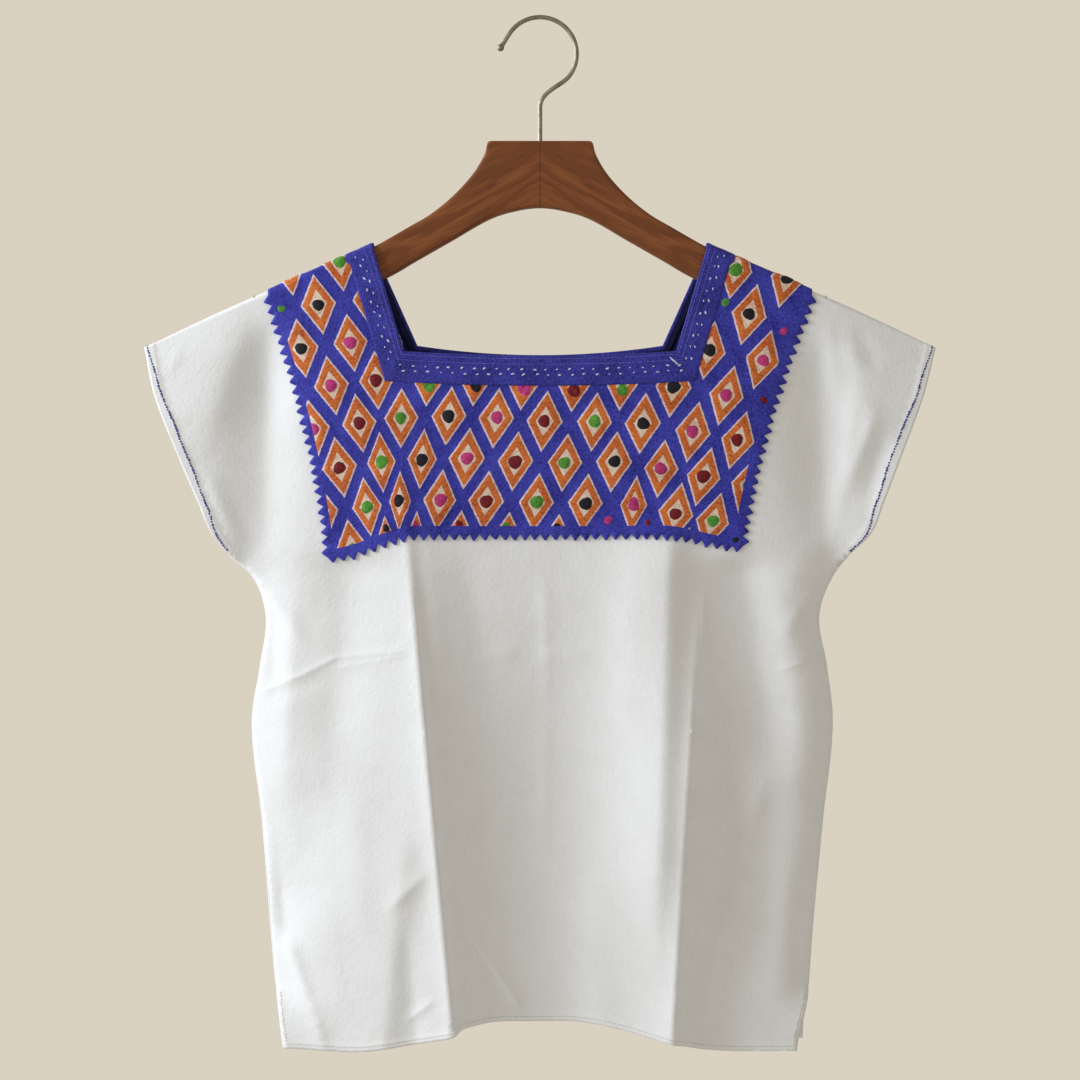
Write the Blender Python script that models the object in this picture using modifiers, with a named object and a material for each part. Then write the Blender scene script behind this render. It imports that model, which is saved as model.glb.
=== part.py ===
"""A square-necked women's blouse hanging on a wooden hanger.

The front and the back are each cut in one with their cap sleeves. An embroidered yoke with a toothed
edge laps over the cloth of each, and a plain band is sewn round the square neck.

Each side is laid out flat as seen from the front: x runs across, and a second value runs down from the
shoulder edge, over the hanger's arm and down the cloth. The depth y then follows from the arm, the seams
and the folds. The origin is where the hook hangs, +Z is up and the front faces -Y. Sizes are in metres.
"""

import math

import bmesh
import bpy
from mathutils import Vector
from mathutils.geometry import delaunay_2d_cdt

MM = 0.001

# Cloth
WALL = 1.0 * MM
LAYER_GAP = 0.3 * MM
LAYER = WALL + LAYER_GAP
SEAM_HALF = LAYER / 2
SHOULDER_GAP = 0.2 * MM

# Shoulder line, straight along the arm and drooping past its tip
NECK_POINT_X = 125 * MM
NECK_POINT_Z = -170 * MM
SHOULDER_SLOPE = 0.434
ARM_TIP_X = 218 * MM
SLEEVE_TIP_X = 296 * MM
TIP_DROOP = 2.5 * MM

# Cloth over the arm: a flat top, then a rounded edge on each side
ARM_HALF_DEPTH = 6.0 * MM
ARM_EDGE_RADIUS = 3.0 * MM
OVER_ARM = 1.0 * MM
CREST_FLAT = ARM_HALF_DEPTH - ARM_EDGE_RADIUS
CREST_RADIUS = ARM_EDGE_RADIUS + OVER_ARM
CREST_TURNS_DEG = (0, 30, 60, 90)
TIP_CREST_SCALE = 0.4

# Square neck: the front and back corners, and how far the edge sags in the middle
NECK = {
    "front": {"corner_x": 102 * MM, "corner_z": -250.5 * MM, "sag": 3.5 * MM},
    "back": {"corner_x": 93 * MM, "corner_z": -244.5 * MM, "sag": 7 * MM},
}
BAND_STRAP_WIDTH = 20 * MM
BAND_FRONT_WIDTH = 25 * MM

# Yoke: its outer edge, the droop of its lower corners, its teeth and its lap over the white cloth
YOKE_TOP_X = 203 * MM
YOKE_BOTTOM_Z = -386 * MM
YOKE_CORNER = {-1: {"x": 158 * MM, "droop": 17 * MM}, 1: {"x": 151 * MM, "droop": 9 * MM}}
YOKE_DROOP_FROM = 90 * MM
YOKE_EDGE_BEND = 0.45
TOOTH_PITCH = 7.5 * MM
TOOTH_HEIGHT = 5 * MM
LAP = 12 * MM

# Half widths from the sleeve's tip down its cuff, round the underarm and down the side seam
EDGE_ROWS = [
    {"z": -247 * MM, "left": 296 * MM, "right": 296 * MM},
    {"z": -280 * MM, "left": 289 * MM, "right": 287.5 * MM},
    {"z": -325 * MM, "left": 271.5 * MM, "right": 271 * MM},
    {"z": -363 * MM, "left": 255 * MM, "right": 256.5 * MM},
    {"z": -386 * MM, "left": 245 * MM, "right": 247 * MM},
    {"z": -402 * MM, "left": 232 * MM, "right": 231 * MM},
    {"z": -416 * MM, "left": 216.5 * MM, "right": 220 * MM},
    {"z": -446 * MM, "left": 205.2 * MM, "right": 209 * MM},
    {"z": -484 * MM, "left": 209.3 * MM, "right": 214.5 * MM},
    {"z": -524 * MM, "left": 215.4 * MM, "right": 219 * MM},
    {"z": -600 * MM, "left": 208 * MM, "right": 211.7 * MM},
    {"z": -674 * MM, "left": 202 * MM, "right": 204.7 * MM},
    {"z": -725 * MM, "left": 197.5 * MM, "right": 201 * MM},
    {"z": -772 * MM, "left": 190.5 * MM, "right": 198.5 * MM},
]
CUFF_BOTTOM_Z = -402 * MM
VENT_TOP_Z = -725 * MM
VENT_HEIGHT = 45 * MM
FRONT_VENT_LEAN = 7 * MM

# Hem heights: in the middle, which the yoke holds up, and at the sides, which drape lower
HEM = {
    "front": {"middle": -749 * MM, "side": -771 * MM, "from": 20 * MM, "to": 150 * MM},
    "back": {"middle": -752 * MM, "side": -767 * MM, "from": 30 * MM, "to": 150 * MM},
}

# Depth: how far each side stands from the middle plane, and how soon
BODY_DEPTH = {"front": 13 * MM, "back": 18 * MM}
SLEEVE_DEPTH = 11 * MM
SLEEVE_FROM_X = 190 * MM
SLEEVE_BLEND = 60 * MM
DEPTH_GROWTH = 55 * MM
SEAM_RISE = 45 * MM
CREST_FADE = 30 * MM

# Folds, each from a start to an end in millimetres: rise is outwards, the widths lie to its left and right
# in the front view, sharp is 1 for a crease and 2 for a soft roll, and the fades are the shares of its
# length over which it comes and goes
FOLD_COLUMNS = ("name", "side", "start_x", "start_z", "end_x", "end_z", "rise", "left", "right", "sharp",
                "fade_in", "fade_out")
FOLD_ROWS = [
    ("left pleat", "front", -107, -290, -62, -770, 21, 78, 19, 1.15, 0.62, 0),
    ("right pleat", "front", 121, -400, 98, -770, 18, 46, 17, 1.15, 0.55, 0),
    ("middle hollow", "front", 14, -400, 18, -770, -5, 48, 48, 2, 0.5, 0),
    ("right ridge", "front", 154, -600, 119, -770, 4, 14, 12, 1.5, 0.6, 0),
    ("left armhole trough", "front", -207, -215, -204, -440, -6, 30, 24, 1.6, 0.3, 0.5),
    ("right armhole trough", "front", 207, -215, 217, -440, -6, 26, 30, 1.6, 0.3, 0.5),
    ("back left pleat", "back", -92, -330, -84, -770, 15, 30, 42, 1.3, 0.6, 0),
    ("back middle pleat", "back", 22, -380, 28, -770, 11, 34, 26, 1.4, 0.6, 0),
    ("back right pleat", "back", 116, -360, 110, -770, 13, 30, 38, 1.3, 0.6, 0),
    ("back left trough", "back", -209, -215, -208, -440, -6, 28, 26, 1.6, 0.3, 0.5),
    ("back right trough", "back", 209, -215, 213, -440, -6, 28, 26, 1.6, 0.3, 0.5),
]
CREASED_RISE = 10 * MM
CREASE_TOP_Z = -425 * MM
BESIDE_CREASE = 8 * MM
BESIDE_REACH = 34 * MM

# Spacing of the points that the cloth is worked out at
EDGE_STEP = 14 * MM
LAP_STEP = 20 * MM
COLUMN_STEP = 17 * MM
ROW_STEP = 20 * MM
SEAM_STEP = 10 * MM
SEAM_TOP_Z = -380 * MM
CLEARANCE = 7 * MM
UNDERARM_Z = -450 * MM
COLUMNS = 17
SAME_POINT = 0.02 * MM

# Hanger: the upper and lower edges of its right half, then its arm under the cloth
HANGER_TOP_Z = -91.5 * MM
HANGER_HEAD_HALF = 40 * MM
HANGER_HEAD_CORNER = 3 * MM
HANGER_UPPER_EDGE = [(40, -94.5), (42, -102), (49, -114.4), (59, -126.4), (70, -137), (83.5, -147.4), (98, -155.8)]
HANGER_LOWER_EDGE = [(0, -141.3), (18, -143.6), (38, -150), (66, -166), (92, -180.8), (115, -194), (160, -215)]
CURVE_PARTS = 3
ARM_PARTS = 4
ARM_TIP_HEIGHT = 17 * MM
ARM_TIP_ROUND = 5 * MM
ARM_TIP_SET_IN = 1.5 * MM
ARM_TO_CLOTH = 1.1 * MM
TIP_TURNS_DEG = (-75, -50, -25, 0, 25, 50, 75)
CORNER_TURNS_DEG = (0, 30, 60, 90)

# Hook: a round wire crook on a straight stem that goes into the hanger
WIRE_RADIUS = 1.7 * MM
CROOK_RADIUS = 27.5 * MM
CROOK_START_DEG = 148
CROOK_END_DEG = -38
CROOK_TAIL = 14.5 * MM
CROOK_STEPS = 32
STEM_TOP_Z = -66 * MM
CROOK_LEAD = 9 * MM
STEM_LEAD = 12 * MM
BEND_STEPS = 8
STEM_STEP = 14 * MM
STEM_DEPTH = 26 * MM
STEM_CLEARANCE = 0.35 * MM
BALL_RADIUS = 2.7 * MM

MATERIALS = {
    "white_cotton": ((0.80, 0.80, 0.78, 1), 0.9, 0.0),
    "blue_embroidery": ((0.05, 0.06, 0.42, 1), 0.85, 0.0),
    "walnut": ((0.20, 0.07, 0.03, 1), 0.45, 0.0),
    "nickel_wire": ((0.62, 0.60, 0.57, 1), 0.25, 1.0),
}


def smooth_step(share):
    """0 below 0, 1 above 1, and an even rise between."""
    share = min(1.0, max(0.0, share))
    return share * share * (3 - 2 * share)


def spaced(start, end, step):
    """Values from start to end, evenly spaced by about a step, both ends included."""
    count = max(1, round(abs(end - start) / step))
    return [start + (end - start) * n / count for n in range(count + 1)]


def spaced_through(stops, step):
    """Values through a list of stops, evenly spaced by about a step between each two."""
    values = [stops[0]]
    for start, end in zip(stops, stops[1:]):
        values += spaced(start, end, step)[1:]
    return values


def through_rows(rows, key, at):
    """The value of a column at a height, on a smooth curve through the table's rows."""
    heights = [row["z"] for row in rows]
    values = [row[key] for row in rows]
    last = len(rows) - 1
    at = min(heights[0], max(heights[last], at))
    i = next(n for n in range(last) if at >= heights[n + 1])
    slopes = [(values[n + 1] - values[n]) / (heights[n + 1] - heights[n]) for n in range(last)]
    start = (slopes[max(i - 1, 0)] + slopes[i]) / 2
    end = (slopes[i] + slopes[min(i + 1, last - 1)]) / 2
    span = heights[i + 1] - heights[i]
    t = (at - heights[i]) / span
    return (values[i] * (1 + 2 * t) * (1 - t) ** 2 + span * start * t * (1 - t) ** 2
            + values[i + 1] * t * t * (3 - 2 * t) + span * end * t * t * (t - 1))


def past_tip(x):
    """How far a point is past the arm's tip, as a share of the way to the sleeve's tip."""
    return max(0.0, abs(x) - ARM_TIP_X) / (SLEEVE_TIP_X - ARM_TIP_X)


def crest_z(x):
    """Height of the shoulder line, carried on above the neck."""
    return NECK_POINT_Z - SHOULDER_SLOPE * (abs(x) - NECK_POINT_X) - TIP_DROOP * past_tip(x) ** 2


def crest_scale(x):
    """How full the fold over the shoulder is: 1 on the arm, less out at the sleeve's tip."""
    return 1 - (1 - TIP_CREST_SCALE) * smooth_step(past_tip(x))


def crest_rows(x):
    """Distances from the middle of the shoulder, round the cloth, at which it bends over the arm."""
    bends = [CREST_FLAT + CREST_RADIUS * math.radians(turn) for turn in CREST_TURNS_DEG]
    return [SHOULDER_GAP] + [bend * crest_scale(x) for bend in bends]


def foot_z(x):
    """Height at which the cloth has come round the arm and hangs down."""
    return crest_z(x) - CREST_RADIUS * crest_scale(x)


def over_arm(x):
    """The layout points where one column crosses the arm."""
    return [(x, -run) for run in crest_rows(x)]


def laid(points):
    """Points given by their heights below the arm, in the layout."""
    return [(x, z - foot_z(x) - crest_rows(x)[-1]) for x, z in points]


def half_width(side, sign, z):
    """Distance of the cuff, underarm or side seam from the middle line."""
    width = through_rows(EDGE_ROWS, "left" if sign < 0 else "right", z)
    if side == "front" and sign > 0:
        width -= FRONT_VENT_LEAN * smooth_step((VENT_TOP_Z - z) / VENT_HEIGHT)
    return width


def hem_z(side, x):
    """Height of the hem."""
    hem = HEM[side]
    share = smooth_step((abs(x) - hem["from"]) / (hem["to"] - hem["from"]))
    return hem["middle"] + (hem["side"] - hem["middle"]) * share


def neck_x(side, z):
    """Distance of the neck's slanting side edge from the middle line."""
    neck = NECK[side]
    foot = foot_z(NECK_POINT_X)
    share = max(0.0, (foot - z) / (foot - neck["corner_z"]))
    return NECK_POINT_X + (neck["corner_x"] - NECK_POINT_X) * share


def yoke_x(sign, z):
    """Distance of the yoke's outer edge, at the bottom of its teeth, from the middle line."""
    top = foot_z(YOKE_TOP_X)
    share = max(0.0, (z - YOKE_BOTTOM_Z) / (top - YOKE_BOTTOM_Z))
    corner_x = YOKE_CORNER[sign]["x"]
    return corner_x + (YOKE_TOP_X - corner_x) * share * (1 - YOKE_EDGE_BEND * (1 - share))


def yoke_z(x):
    """Height of the yoke's lower edge, at the bottom of its teeth."""
    corner = YOKE_CORNER[-1 if x < 0 else 1]
    share = (abs(x) - YOKE_DROOP_FROM) / (corner["x"] - YOKE_DROOP_FROM)
    return YOKE_BOTTOM_Z - corner["droop"] * smooth_step(share)


def neck_line(side, strap_width, front_width):
    """The neck's edge, or a line set outside it, from the left shoulder round to the right one."""
    neck = NECK[side]
    top_x = NECK_POINT_X + strap_width
    corner_z = neck["corner_z"] - front_width
    corner_x = neck_x(side, corner_z) + strap_width
    halves = []
    for sign in (-1, 1):
        heights = spaced(foot_z(top_x), corner_z, EDGE_STEP)[1:]
        strap = [(sign * (neck_x(side, z) + strap_width), z) for z in heights]
        halves.append(over_arm(sign * top_x) + laid(strap))
    bottom = []
    for x in spaced(-corner_x, corner_x, EDGE_STEP)[1:-1]:
        bottom.append((x, corner_z - neck["sag"] * (1 - (x / corner_x) ** 2)))
    return halves[0] + laid(bottom) + halves[1][::-1]


def teeth(points):
    """A toothed line: the points of a base line, with a tooth's tip standing out between each two."""
    line = [points[0]]
    for (ax, az), (bx, bz) in zip(points, points[1:]):
        length = math.hypot(bx - ax, bz - az)
        out_x, out_z = (bz - az) / length, (ax - bx) / length
        line.append(((ax + bx) / 2 + out_x * TOOTH_HEIGHT, (az + bz) / 2 + out_z * TOOTH_HEIGHT))
        line.append((bx, bz))
    return line


def yoke_line(inset, step, toothed):
    """The yoke's outer edge, or a line inside it, from the left shoulder down, along and up to the right."""
    top_x = YOKE_TOP_X - inset
    sides = []
    for sign in (-1, 1):
        corner_z = yoke_z(sign * YOKE_CORNER[sign]["x"]) + inset
        sides.append([(sign * (yoke_x(sign, z) - inset), z) for z in spaced(foot_z(top_x), corner_z, step)])
    left, right = sides
    bottom = [(x, yoke_z(x) + inset) for x in spaced(left[-1][0], right[-1][0], step)]
    line = left + bottom[1:-1] + right[::-1]
    line = teeth(line) if toothed else line
    return over_arm(-top_x)[:-1] + laid(line) + over_arm(top_x)[:-1][::-1]


def folds_of(side):
    """The folds of one side, as named values in metres."""
    folds = [dict(zip(FOLD_COLUMNS, row)) for row in FOLD_ROWS]
    for fold in folds:
        for size in FOLD_COLUMNS[2:9]:
            fold[size] *= MM
    return [fold for fold in folds if fold["side"] == side]


def fold_x(fold, z):
    """Where a fold's line is at a height."""
    share = (z - fold["start_z"]) / (fold["end_z"] - fold["start_z"])
    return fold["start_x"] + (fold["end_x"] - fold["start_x"]) * share


def fold_rise(fold, x, z):
    """How far one fold lifts the cloth at a point."""
    run_x, run_z = fold["end_x"] - fold["start_x"], fold["end_z"] - fold["start_z"]
    length = math.hypot(run_x, run_z)
    from_x, from_z = x - fold["start_x"], z - fold["start_z"]
    along = (from_x * run_x + from_z * run_z) / length ** 2
    across = (from_z * run_x - from_x * run_z) / length
    width = fold["right"] if across > 0 else fold["left"]
    come = smooth_step(along / fold["fade_in"])
    go = smooth_step((1 - along) / fold["fade_out"]) if fold["fade_out"] else 1.0
    return fold["rise"] * come * go * math.exp(-(abs(across) / width) ** fold["sharp"])


def hem_foot(side, fold):
    """Where a fold's line meets the hem."""
    x = fold_x(fold, hem_z(side, fold["end_x"]))
    return x, hem_z(side, x)


def crease_line(side, fold):
    """The line of one sharp fold, from under the yoke to the hem."""
    end_x, end_z = hem_foot(side, fold)
    line = [(fold_x(fold, z), z) for z in spaced(CREASE_TOP_Z, end_z, ROW_STEP)]
    line[-1] = (end_x, end_z)
    return laid(line)


def lines_beside(side, fold):
    """Lines that follow a sharp fold on each side of it, where the cloth curves most."""
    right = fold["right"]
    shifts = (-fold["left"], -fold["left"] / 3, max(right / 3, BESIDE_CREASE), 1.1 * right)
    heights = spaced(CREASE_TOP_Z, hem_z(side, fold["end_x"]), ROW_STEP)[:-1]
    near = [shift for shift in shifts if abs(shift) < BESIDE_REACH]
    return [laid([(fold_x(fold, z) + shift, z) for z in heights]) for shift in near]


def edge_line(side, sign):
    """Cuff, underarm and side seam of one side, from the sleeve's tip down to the hem."""
    tip_x = sign * SLEEVE_TIP_X
    heights = spaced(foot_z(tip_x), HEM[side]["side"], EDGE_STEP)[1:]
    return over_arm(tip_x) + laid([(sign * half_width(side, sign, z), z) for z in heights])


def shoulder_columns(sign):
    """Where the columns cross one shoulder, from the neck to the sleeve's tip."""
    stops = [NECK_POINT_X, NECK_POINT_X + BAND_STRAP_WIDTH, YOKE_TOP_X - LAP, YOKE_TOP_X, SLEEVE_TIP_X]
    return [sign * x for x in spaced_through(stops, EDGE_STEP)]


def hem_line(side):
    """The hem, from left to right."""
    ends = [sign * half_width(side, sign, HEM[side]["side"]) for sign in (-1, 1)]
    feet = [hem_foot(side, fold)[0] for fold in folds_of(side) if fold["rise"] > CREASED_RISE]
    return laid([(x, hem_z(side, x)) for x in spaced_through(sorted(ends + feet), EDGE_STEP)])


def outline_of(side):
    """The closed outline of one side, anticlockwise as seen from the front."""
    left, right = edge_line(side, -1), edge_line(side, 1)
    left_shoulder = [(x, -SHOULDER_GAP) for x in shoulder_columns(-1)]
    right_shoulder = [(x, -SHOULDER_GAP) for x in shoulder_columns(1)]
    neck = neck_line(side, 0, 0)
    return (hem_line(side)[:-1] + right[::-1] + right_shoulder[::-1][1:-1] + neck[::-1]
            + left_shoulder[1:-1] + left[:-1])


def inside(point, polygon):
    """Whether a point of the layout lies inside a closed polygon."""
    x, z = point
    crossings = 0
    for (ax, az), (bx, bz) in zip(polygon, polygon[1:] + polygon[:1]):
        if (az > z) != (bz > z) and x < ax + (z - az) * (bx - ax) / (bz - az):
            crossings += 1
    return crossings % 2 == 1


def distance_to(point, line):
    """Shortest distance from a point to an open line."""
    nearest = 1.0
    for (ax, az), (bx, bz) in zip(line, line[1:]):
        along = (point[0] - ax) * (bx - ax) + (point[1] - az) * (bz - az)
        share = min(1.0, max(0.0, along / ((bx - ax) ** 2 + (bz - az) ** 2)))
        off_x, off_z = point[0] - ax - share * (bx - ax), point[1] - az - share * (bz - az)
        nearest = min(nearest, math.hypot(off_x, off_z))
    return nearest


def filling(side, outline, lines):
    """Points inside the outline, in rows that run with the shoulders above and level below."""
    points = []
    for x in (n * COLUMN_STEP for n in range(-COLUMNS, COLUMNS + 1)):
        heights = spaced_through([foot_z(x), UNDERARM_Z, hem_z(side, x)], ROW_STEP)[1:-1]
        points += laid([(x, z) for z in heights])
    return [p for p in points if inside(p, outline) and min(distance_to(p, line) for line in lines) > CLEARANCE]


class Cloth:
    """The front or back laid out as one net of triangles, which each of its pieces takes its faces from."""

    def __init__(self, side):
        self.side = side
        self.folds = folds_of(side)
        self.seams = [self.seam_points(sign) for sign in (-1, 1)]
        outline = outline_of(side)
        sharp = [fold for fold in self.folds if fold["rise"] > CREASED_RISE]
        creases = [crease_line(side, fold) for fold in sharp]
        for fold in sharp:
            creases += lines_beside(side, fold)
        self.band = neck_line(side, BAND_STRAP_WIDTH, BAND_FRONT_WIDTH)
        self.yoke = yoke_line(0, TOOTH_PITCH, True)
        self.lap = yoke_line(LAP, LAP_STEP, False)
        over = [[(x, -crest_rows(x)[row]) for x in shoulder_columns(sign)]
                for sign in (-1, 1) for row in range(1, len(CREST_TURNS_DEG) + 1)]
        closed = outline + outline[:1]
        lines = [closed, self.band, self.yoke, self.lap, *creases, *over]
        points, edges = [], []
        for line in lines:
            edges += [(n, n + 1) for n in range(len(points), len(points) + len(line) - 1)]
            points += line
        points += filling(side, outline, lines)
        net = delaunay_2d_cdt([Vector(p) for p in points], edges, [], 0, SAME_POINT, False)
        self.points = [(p.x, p.y) for p in net[0]]
        self.faces = [face for face in net[2] if inside(self.middle(face), outline)]
        self.places, self.normals = self.hung()

    def seam_points(self, sign):
        """The closed part of one side, from under the cuff to the top of the vent, in the front view."""
        heights = spaced(SEAM_TOP_Z, HEM[self.side]["side"], SEAM_STEP)
        return [(sign * half_width(self.side, sign, z), z) for z in heights if VENT_TOP_Z <= z <= CUFF_BOTTOM_Z]

    def middle(self, face):
        """The middle of a face, in the layout."""
        return sum(self.points[n][0] for n in face) / 3, sum(self.points[n][1] for n in face) / 3

    def depth(self, x, z):
        """Distance from the middle plane where the cloth hangs free."""
        scale = crest_scale(x)
        sleeve = smooth_step((abs(x) - SLEEVE_FROM_X) / SLEEVE_BLEND)
        full = BODY_DEPTH[self.side] + (SLEEVE_DEPTH - BODY_DEPTH[self.side]) * sleeve
        at_crest = (CREST_FLAT + CREST_RADIUS) * scale
        below = max(0.0, foot_z(x) - z)
        free = at_crest + (full - at_crest) * (1 - math.exp(-below / DEPTH_GROWTH))
        rise = sum(fold_rise(fold, x, z) for fold in self.folds)
        free += rise * (1 - math.exp(-below / CREST_FADE))
        reach = min(distance_to((x, z), seam) for seam in self.seams)
        openness = 1 - (1 - min(1.0, reach / SEAM_RISE)) ** 2
        return SEAM_HALF + (free - SEAM_HALF) * openness

    def place(self, x, down):
        """Where a point of the layout hangs, in space."""
        scale = crest_scale(x)
        run = -down
        length = crest_rows(x)[-1]
        if run < length - SAME_POINT / 2:
            turn = max(0.0, run / scale - CREST_FLAT) / CREST_RADIUS
            y = scale * (min(run / scale, CREST_FLAT) + CREST_RADIUS * math.sin(turn))
            z = crest_z(x) - scale * CREST_RADIUS * (1 - math.cos(turn))
        else:
            z = foot_z(x) - (run - length)
            y = self.depth(x, z)
        return Vector((x, -y if self.side == "front" else y, z))

    def turned(self, face):
        """A face's corners in the order that makes it look away from the other side of the garment."""
        return face if self.side == "front" else face[::-1]

    def hung(self):
        """The place and the outward direction of every point of the net."""
        sheet = bmesh.new()
        verts = [sheet.verts.new(self.place(*p)) for p in self.points]
        for face in self.faces:
            sheet.faces.new([verts[n] for n in self.turned(face)])
        sheet.normal_update()
        hung = [v.co.copy() for v in verts], [v.normal.copy() for v in verts]
        sheet.free()
        return hung

    def piece(self, name, keep, layer, material):
        """One piece: the faces whose middles it keeps, moved out to its layer, with the wall's thickness."""
        chosen = [face for face in self.faces if keep(self.middle(face))]
        used = sorted({n for face in chosen for n in face})
        order = {n: i for i, n in enumerate(used)}
        mesh = bpy.data.meshes.new(name)
        verts = [self.places[n] + layer * LAYER * self.normals[n] for n in used]
        mesh.from_pydata(verts, [], [[order[n] for n in self.turned(face)] for face in chosen])
        made = bpy.data.objects.new(name, mesh)
        mesh.materials.append(material)
        wall = made.modifiers.new("Cloth wall", "SOLIDIFY")
        wall.thickness = WALL
        wall.offset = 0
        return made

    def pieces(self, cotton, embroidery):
        """The body with its sleeves, the yoke that laps over it and the neck band on the yoke."""
        above = 1.0
        within = {name: line + [(line[-1][0], above), (line[0][0], above)]
                  for name, line in (("band", self.band), ("yoke", self.yoke), ("lap", self.lap))}
        return [
            self.piece(f"{self.side}_body", lambda p: not inside(p, within["lap"]), 0, cotton),
            self.piece(f"{self.side}_yoke", lambda p: inside(p, within["yoke"]), 1, embroidery),
            self.piece(f"{self.side}_neck_band", lambda p: inside(p, within["band"]), 2, embroidery),
        ]


def smooth_through(points, parts):
    """A smooth line through points, with a number of parts between each two."""
    ends = [points[0], *points, points[-1]]
    line = []
    for four in zip(ends, ends[1:], ends[2:], ends[3:]):
        for t in (n / parts for n in range(parts)):
            place = []
            for a, b, c, d in zip(*four):
                curl = 2 * a - 5 * b + 4 * c - d
                twist = 3 * b - a - 3 * c + d
                place.append(b + 0.5 * t * (c - a + t * (curl + t * twist)))
            line.append(tuple(place))
    return line + [points[-1]]


def hanger_outline():
    """The hanger's outline in the front view, from the middle of its lower edge round its right half."""
    tip_x = ARM_TIP_X - ARM_TIP_SET_IN
    tip_z = crest_z(tip_x) - ARM_TO_CLOTH
    lower = [(x * MM, z * MM) for x, z in HANGER_LOWER_EDGE]
    lower = smooth_through([(-lower[1][0], lower[1][1]), *lower], CURVE_PARTS)[CURVE_PARTS:]
    arm = [NECK_POINT_X + n * (tip_x - ARM_TIP_ROUND - NECK_POINT_X) / ARM_PARTS for n in range(ARM_PARTS + 1)]
    upper = [(x * MM, z * MM) for x, z in HANGER_UPPER_EDGE] + [(x, crest_z(x) - ARM_TO_CLOTH) for x in arm]
    upper = smooth_through(upper, CURVE_PARTS)
    half_height = ARM_TIP_HEIGHT / 2
    tip = []
    for turn in TIP_TURNS_DEG:
        angle = math.radians(turn)
        tip.append((tip_x - ARM_TIP_ROUND * (1 - math.cos(angle)), tip_z - half_height * (1 - math.sin(angle))))
    head = []
    for turn in CORNER_TURNS_DEG:
        angle = math.radians(turn)
        head.append((HANGER_HEAD_HALF - HANGER_HEAD_CORNER * (1 - math.cos(angle)),
                     HANGER_TOP_Z - HANGER_HEAD_CORNER * (1 - math.sin(angle))))
    right = lower + tip + upper[::-1] + head
    return right + [(-x, z) for x, z in reversed(right) if x > 0]


def make_hanger(material, cutters):
    """The wooden hanger: its outline, thickened, with rounded edges and a hole for the hook's stem."""
    mesh = bpy.data.meshes.new("hanger_bar")
    outline = hanger_outline()
    mesh.from_pydata([(x, 0, z) for x, z in outline], [], [list(range(len(outline)))])
    made = bpy.data.objects.new("hanger_bar", mesh)
    mesh.materials.append(material)
    thick = made.modifiers.new("Thickness", "SOLIDIFY")
    thick.thickness = 2 * ARM_HALF_DEPTH
    thick.offset = 0
    rounded = made.modifiers.new("Rounded edges", "BEVEL")
    rounded.width = ARM_EDGE_RADIUS
    rounded.segments = 3
    rounded.limit_method = "ANGLE"
    rounded.angle_limit = math.radians(60)
    rounded.use_clamp_overlap = False
    bpy.ops.mesh.primitive_cylinder_add(vertices=24, radius=WIRE_RADIUS + STEM_CLEARANCE, depth=2 * STEM_DEPTH,
                                        location=(0, 0, HANGER_TOP_Z))
    hole = bpy.context.active_object
    hole.name = "stem_hole"
    hole.hide_render = True
    hole.display_type = "WIRE"
    hole.users_collection[0].objects.unlink(hole)
    cutters.objects.link(hole)
    bore = made.modifiers.new("Stem hole", "BOOLEAN")
    bore.operation = "DIFFERENCE"
    bore.solver = "EXACT"
    bore.object = hole
    return made


def hook_stations():
    """Points along the hook's wire with its radius at each, from the ball tip to the foot of the stem."""
    centre_z = -CROOK_RADIUS + WIRE_RADIUS
    start, end = math.radians(CROOK_START_DEG), math.radians(CROOK_END_DEG)
    first = Vector((CROOK_RADIUS * math.cos(start), 0, centre_z + CROOK_RADIUS * math.sin(start)))
    back = Vector((-math.sin(start), 0, math.cos(start)))
    tip = first + back * CROOK_TAIL
    stations = []
    for turn in range(10, 171, 20):
        angle = math.radians(turn)
        radius = BALL_RADIUS * math.sin(angle)
        if turn < 90 or radius > WIRE_RADIUS:
            stations.append((tip - back * (BALL_RADIUS * (1 - math.cos(angle))), radius))
    stations += [(tip - back * CROOK_TAIL * share, WIRE_RADIUS) for share in (0.4, 0.7)]
    for n in range(CROOK_STEPS + 1):
        angle = start + (end - start) * n / CROOK_STEPS
        place = Vector((CROOK_RADIUS * math.cos(angle), 0, centre_z + CROOK_RADIUS * math.sin(angle)))
        stations.append((place, WIRE_RADIUS))
    last = stations[-1][0]
    lead = last + Vector((math.sin(end), 0, -math.cos(end))) * CROOK_LEAD
    stem_top = Vector((0, 0, STEM_TOP_Z))
    above = stem_top + Vector((0, 0, STEM_LEAD))
    for t in (n / BEND_STEPS for n in range(1, BEND_STEPS + 1)):
        crook_half = (1 - t) ** 3 * last + 3 * t * (1 - t) ** 2 * lead
        stations.append((crook_half + 3 * t * t * (1 - t) * above + t ** 3 * stem_top, WIRE_RADIUS))
    stem_end = HANGER_TOP_Z - STEM_DEPTH + LAYER_GAP
    stations += [(Vector((0, 0, z)), WIRE_RADIUS) for z in spaced(STEM_TOP_Z, stem_end, STEM_STEP)[1:]]
    return stations


def make_hook(material):
    """The hook: one wire with a ball at its tip."""
    curve = bpy.data.curves.new("hanger_hook", "CURVE")
    curve.dimensions = "3D"
    curve.bevel_depth = 1.0
    curve.bevel_resolution = 3
    curve.use_fill_caps = True
    stations = hook_stations()
    wire = curve.splines.new("POLY")
    wire.points.add(len(stations) - 1)
    for point, (place, radius) in zip(wire.points, stations):
        point.co = (*place, 1)
        point.radius = radius
    made = bpy.data.objects.new("hanger_hook", curve)
    curve.materials.append(material)
    return made


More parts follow.
